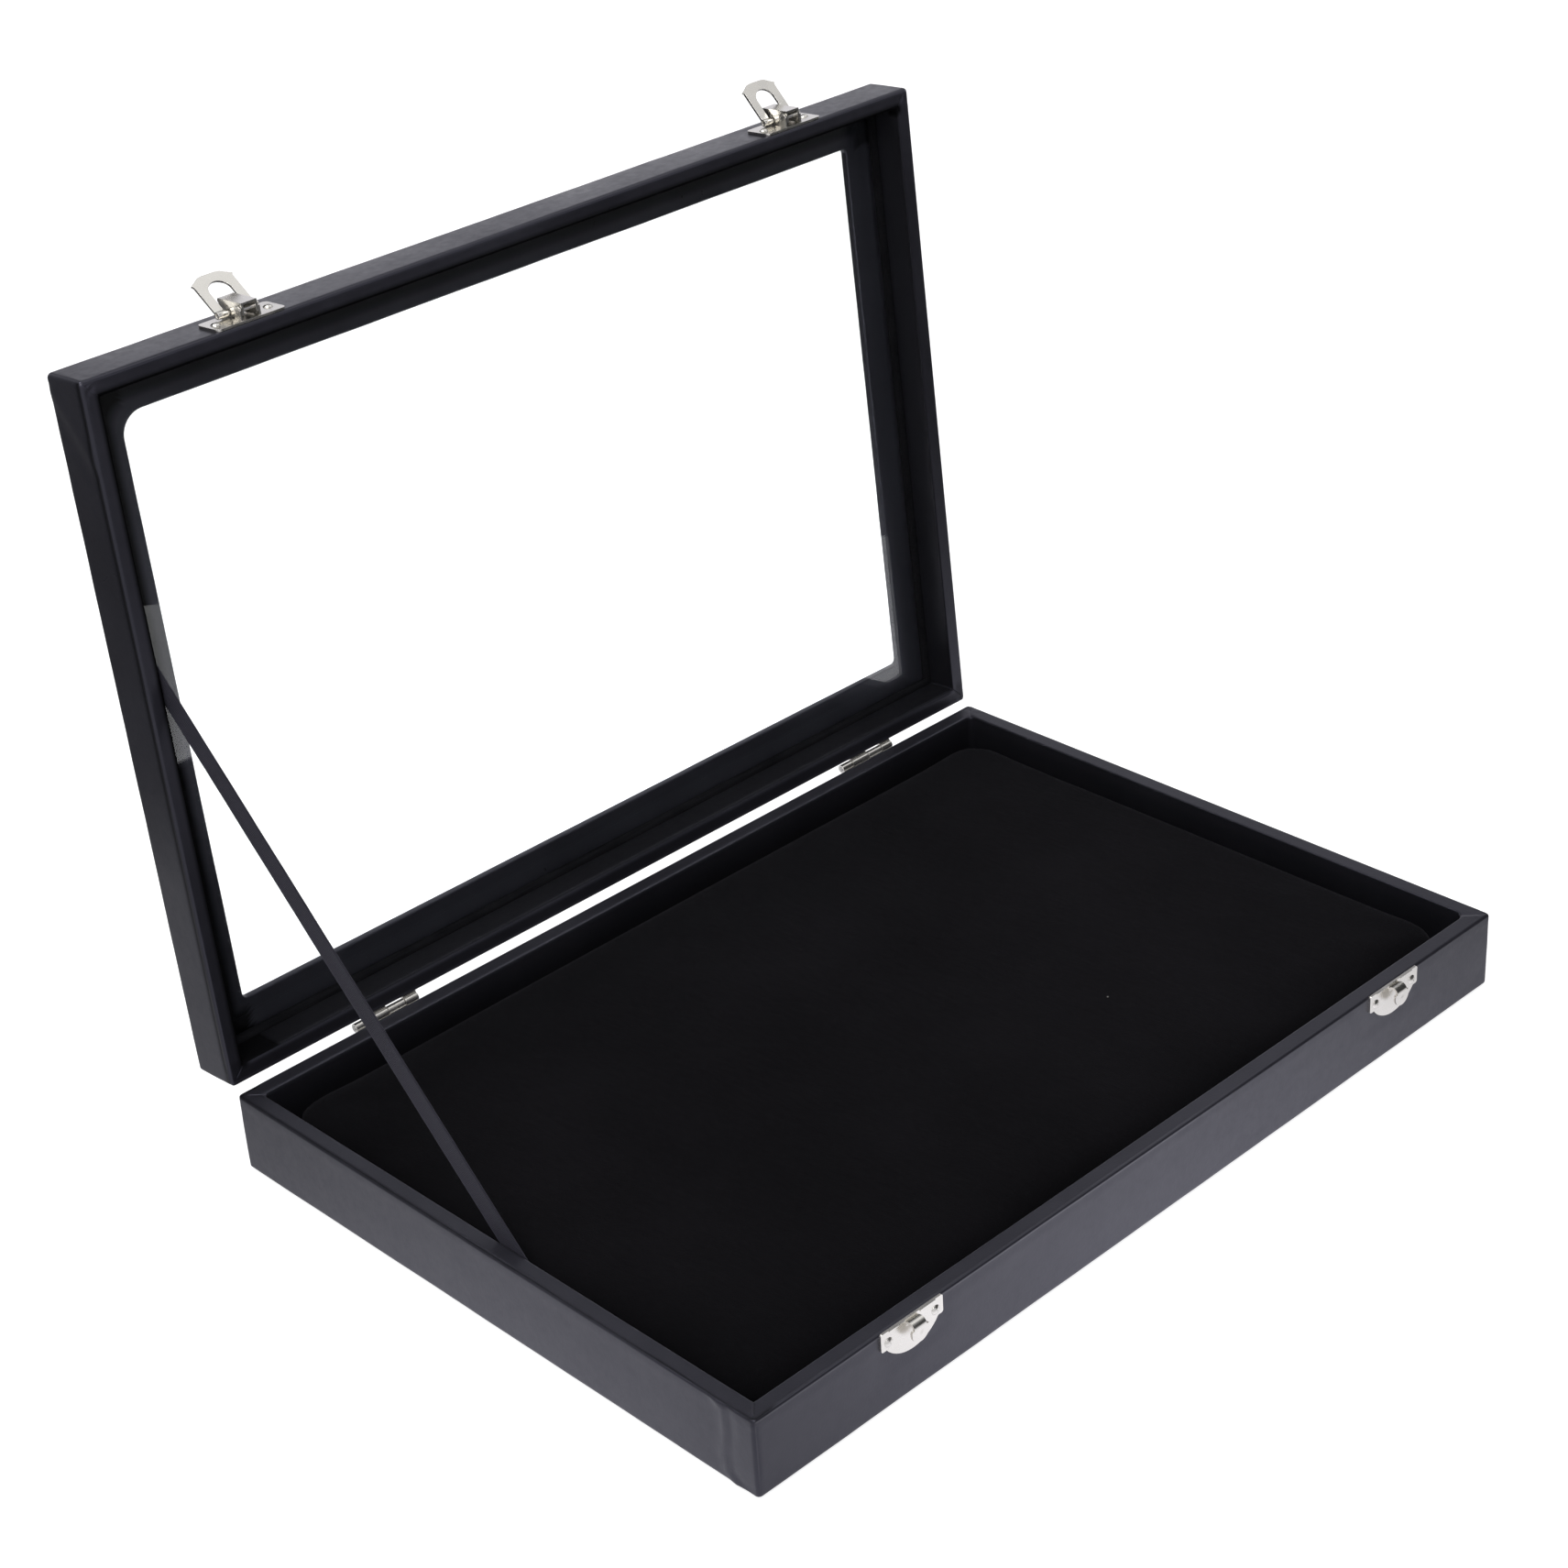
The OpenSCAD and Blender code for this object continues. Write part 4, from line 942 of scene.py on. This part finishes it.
def ribbon_stay():
    y0, z0 = STRAP_BASE
    _, y1, z1 = to_open(np.array([0.0, *STRAP_LID]))
    length = math.hypot(y1 - y0, z1 - z0)
    ey, ez = (y1 - y0) / length, (z1 - z0) / length
    mid = (STRAP_X0 + STRAP_X1) / 2
    ring = ribbon_ring()
    points, uvs = [], []
    for u in np.linspace(-STRAP_TAIL, length + STRAP_TAIL, RIBBON_ALONG):
        free = math.sin(math.pi * min(max(u / length, 0), 1))
        bow = RIBBON_BOW * free * noise.noise(Vector((u / 23, 1.7, 0)))
        for v, t in ring:
            cup = RIBBON_CUP * free * (1 - (2 * v / STRAP_W) ** 2)
            at_edge = abs(v) > STRAP_W / 2 - RIBBON_EDGE - 0.05
            w = v + (RIBBON_FRAY * noise.noise(Vector((u / 6, v, 4.0))) if at_edge else 0)
            points.append((mid + t + bow + cup, y0 + ey * u - ez * w, z0 + ez * u + ey * w))
            uvs.append((u * MM, v * MM))
    obj = mesh_object("ribbon_stay", points, loft_faces(RIBBON_ALONG, len(ring)))
    layer = obj.data.uv_layers.new(name="weave")
    for loop in obj.data.loops:
        layer.data[loop.index].uv = uvs[loop.vertex_index]
    finish_with(obj, RIBBON)
    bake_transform(obj)
    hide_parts("strap")


ribbon_stay()


# Fittings
STAMPED_EDGE, LEAF_EDGE, NAIL_EDGE = 0.18, 0.1, 0.08
WELD = 0.000002
FLAT_ANGLE, SHARP_ANGLE = math.radians(1.0), math.radians(32)


def softened(node, body, width, name):
    """The node's shape with its sharp edges rounded as stamped and plated metal is."""
    mesh = frame["nodes"][node].data.copy()
    obj = link(bpy.data.objects.new(name, mesh))
    bm = bmesh.new()
    bm.from_mesh(mesh)
    bmesh.ops.remove_doubles(bm, verts=bm.verts, dist=WELD)
    bmesh.ops.dissolve_limit(bm, angle_limit=FLAT_ANGLE, verts=bm.verts, edges=bm.edges)
    for face in bm.faces:
        face.smooth = True
    bm.to_mesh(mesh)
    bm.free()
    edges = obj.modifiers.new("edges", "BEVEL")
    edges.width = width * MM
    edges.segments = 3
    edges.limit_method = "ANGLE"
    edges.angle_limit = SHARP_ANGLE
    edges.use_clamp_overlap = True
    edges.harden_normals = True
    obj.modifiers.new("flats", "WEIGHTED_NORMAL").weight = 100
    apply_modifiers(obj)
    finish_with(obj, NICKEL)
    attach(obj, body)
    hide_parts(node)


for hand in HANDS:
    softened(f"catch_{hand}", "base", STAMPED_EDGE, f"plated_catch_{hand}")
    softened(f"clasp_plate_{hand}", "lid", STAMPED_EDGE, f"plated_clasp_{hand}")
    softened(f"lever_{hand}", f"lever_{hand}", STAMPED_EDGE, f"plated_lever_{hand}")
    softened(f"loop_{hand}", f"loop_{hand}", STAMPED_EDGE, f"plated_loop_{hand}")
    softened(f"hinge_base_leaf_{hand}", "base", LEAF_EDGE, f"plated_base_leaf_{hand}")
    softened(f"hinge_lid_leaf_{hand}", "lid", LEAF_EDGE, f"plated_lid_leaf_{hand}")
softened("catch_nails", "base", NAIL_EDGE, "plated_catch_nails")
softened("hinge_base_nails", "base", NAIL_EDGE, "plated_base_leaf_nails")
softened("clasp_nails", "lid", NAIL_EDGE, "plated_clasp_nails")
softened("hinge_lid_nails", "lid", NAIL_EDGE, "plated_lid_leaf_nails")


# Stage, in metres
FLOOR_HALF, FLOOR_AT = 6.0, -0.0003
FLOOR_LIFT = 0.79
# Painted pools of light on the floor, seen only in reflections: place, reach and strength
FLOOR_POOLS = (((0.0, -0.03), (0.40, 0.34), 2.02), ((0.20, 0.35), (0.40, 0.40), 0.6))
POOL_COLOUR = (0.96, 0.955, 1.05, 1)
SKY = ((0.0, (0.97, 0.965, 1.0)), (0.22, (0.92, 0.915, 0.98)), (0.34, (0.74, 0.735, 0.80)),
       (0.46, (0.26, 0.26, 0.28)), (0.7, (0.26, 0.26, 0.27)), (1.0, (0.45, 0.45, 0.46)))
CAMERA_AT = (-0.622457, -0.632233, 0.604699)
CAMERA_RIGHT = (0.711036, -0.70091024, -0.05614838)
CAMERA_AHEAD = (0.59434699, 0.64175852, -0.48466241)
CAMERA_LENS, CAMERA_SENSOR = 73.018, 36.0


def stage_card(name, corners, mat):
    mesh = bpy.data.meshes.new(name)
    mesh.from_pydata(corners, [], [(0, 1, 2, 3)])
    mesh.materials.append(mat)
    obj = link(bpy.data.objects.new(name, mesh))
    return obj


def light_pool(tree, at, reach, strength):
    """Painted pool of light: glow on the floor that falls off from a place."""
    coords = add(tree, "ShaderNodeTexCoord").outputs["Object"]
    spot = add(tree, "ShaderNodeMapping", {
        "Vector": coords,
        "Location": (-at[0] / reach[0], -at[1] / reach[1], 0),
        "Scale": (1 / reach[0], 1 / reach[1], 1),
    }).outputs[0]
    fall = add(tree, "ShaderNodeTexGradient", {"Vector": spot}, gradient_type="QUADRATIC_SPHERE")
    return math_node(tree, "MULTIPLY", fall.outputs["Fac"], strength)


def stage_floor():
    """Pale floor: white to the camera and through the pane, with painted pools of light, a glow around the
    case that only reflections see.
    """
    mat, tree, shader = surface("studio_floor", Base_Color=(0.46, 0.46, 0.46, 1), Roughness=0.9,
                                Specular_IOR_Level=0.1)
    path = add(tree, "ShaderNodeLightPath").outputs
    seen = math_node(tree, "MAXIMUM", path["Is Camera Ray"], path["Is Transmission Ray"])
    pools = math_node(tree, "ADD", *[light_pool(tree, *pool) for pool in FLOOR_POOLS])
    lift = math_node(tree, "MULTIPLY", seen, FLOOR_LIFT)
    # Painted pools of light, a glow that only glossy rays see
    pool_glow_strength = math_node(tree, "MULTIPLY", path["Is Glossy Ray"], pools)
    glow = add(tree, "ShaderNodeEmission", {"Color": (1, 1, 1, 1), "Strength": lift})
    pool_glow = add(tree, "ShaderNodeEmission", {"Color": POOL_COLOUR, "Strength": pool_glow_strength})
    both = add(tree, "ShaderNodeAddShader", {0: glow.outputs[0], 1: pool_glow.outputs[0]})
    show(tree, add(tree, "ShaderNodeAddShader", {0: shader.outputs[0], 1: both.outputs[0]}))
    low, high = -FLOOR_HALF, FLOOR_HALF
    plan = ((low, low), (high, low), (high, high), (low, high))
    stage_card("studio_floor", [(x, y, FLOOR_AT) for x, y in plan], mat)


def stage_flag(name, a, b, high, tone):
    """Dark card out of the picture that only reflections see. Sight straight through the pane passes it."""
    mat, tree, shader = surface(name, Base_Color=(tone, tone, tone, 1), Roughness=1.0,
                                Specular_IOR_Level=0.0)
    bounces = add(tree, "ShaderNodeLightPath").outputs["Glossy Depth"]
    mirrored = math_node(tree, "GREATER_THAN", bounces, 0.5)
    clear = add(tree, "ShaderNodeBsdfTransparent")
    show(tree, add(tree, "ShaderNodeMixShader", {0: mirrored, 1: clear.outputs[0], 2: shader.outputs[0]}))
    obj = stage_card(name, [(*a, 0), (*b, 0), (*b, high), (*a, high)], mat)
    obj.visible_camera = obj.visible_diffuse = obj.visible_shadow = False


def studio_world():
    """Pale near the horizon and dim higher up."""
    world = bpy.data.worlds.new("studio")
    bpy.context.scene.world = world
    world.use_nodes = True
    tree = world.node_tree
    direction = add(tree, "ShaderNodeTexCoord").outputs["Generated"]
    up = add(tree, "ShaderNodeSeparateXYZ", {0: direction}).outputs["Z"]
    background = tree.nodes["Background"]
    background.inputs["Strength"].default_value = 1.0
    feed(tree, background, Color=ramp(tree, up, SKY))


def soft_lamp(name, at, aim, size, watts):
    lamp = bpy.data.lights.new(name, "AREA")
    lamp.shape = "SQUARE"
    lamp.size = size
    lamp.energy = watts
    obj = link(bpy.data.objects.new(name, lamp))
    obj.location = at
    obj.rotation_euler = (Vector(aim) - Vector(at)).to_track_quat("-Z", "Y").to_euler()


def studio_camera():
    """The photograph's camera, solved from the case's corners in it."""
    data = bpy.data.cameras.new("camera")
    data.sensor_fit = "HORIZONTAL"
    data.sensor_width = CAMERA_SENSOR
    data.lens = CAMERA_LENS
    data.clip_start, data.clip_end = 0.01, 50
    obj = link(bpy.data.objects.new("camera", data))
    right, ahead = Vector(CAMERA_RIGHT), Vector(CAMERA_AHEAD)
    turn = Matrix((right, right.cross(ahead), -ahead)).transposed().to_4x4()
    obj.matrix_world = Matrix.Translation(Vector(CAMERA_AT)) @ turn
    bpy.context.scene.camera = obj


stage_floor()
stage_flag("right_flag", (0.430, 0.010), (-0.030, -0.642), high=0.3, tone=0.06)
stage_flag("left_flag", (-0.446, 0.220), (-0.204, 0.360), high=0.5, tone=0.16)
stage_flag("rear_flag", (-0.140, 0.270), (0.060, 0.620), high=0.45, tone=0.02)
studio_world()
soft_lamp("key", (-1.3, -1.0, 1.9), aim=(0, 0, 0.1), size=1.4, watts=28)
soft_lamp("top", (-0.6, 0.6, 2.2), aim=(0, 0, 0.1), size=1.2, watts=19)
soft_lamp("side", (1.20, 0.05, 2.20), aim=(0, 0.1, 0.2), size=1.7, watts=6)
studio_camera()
bpy.context.scene.view_settings.view_transform = "Standard"
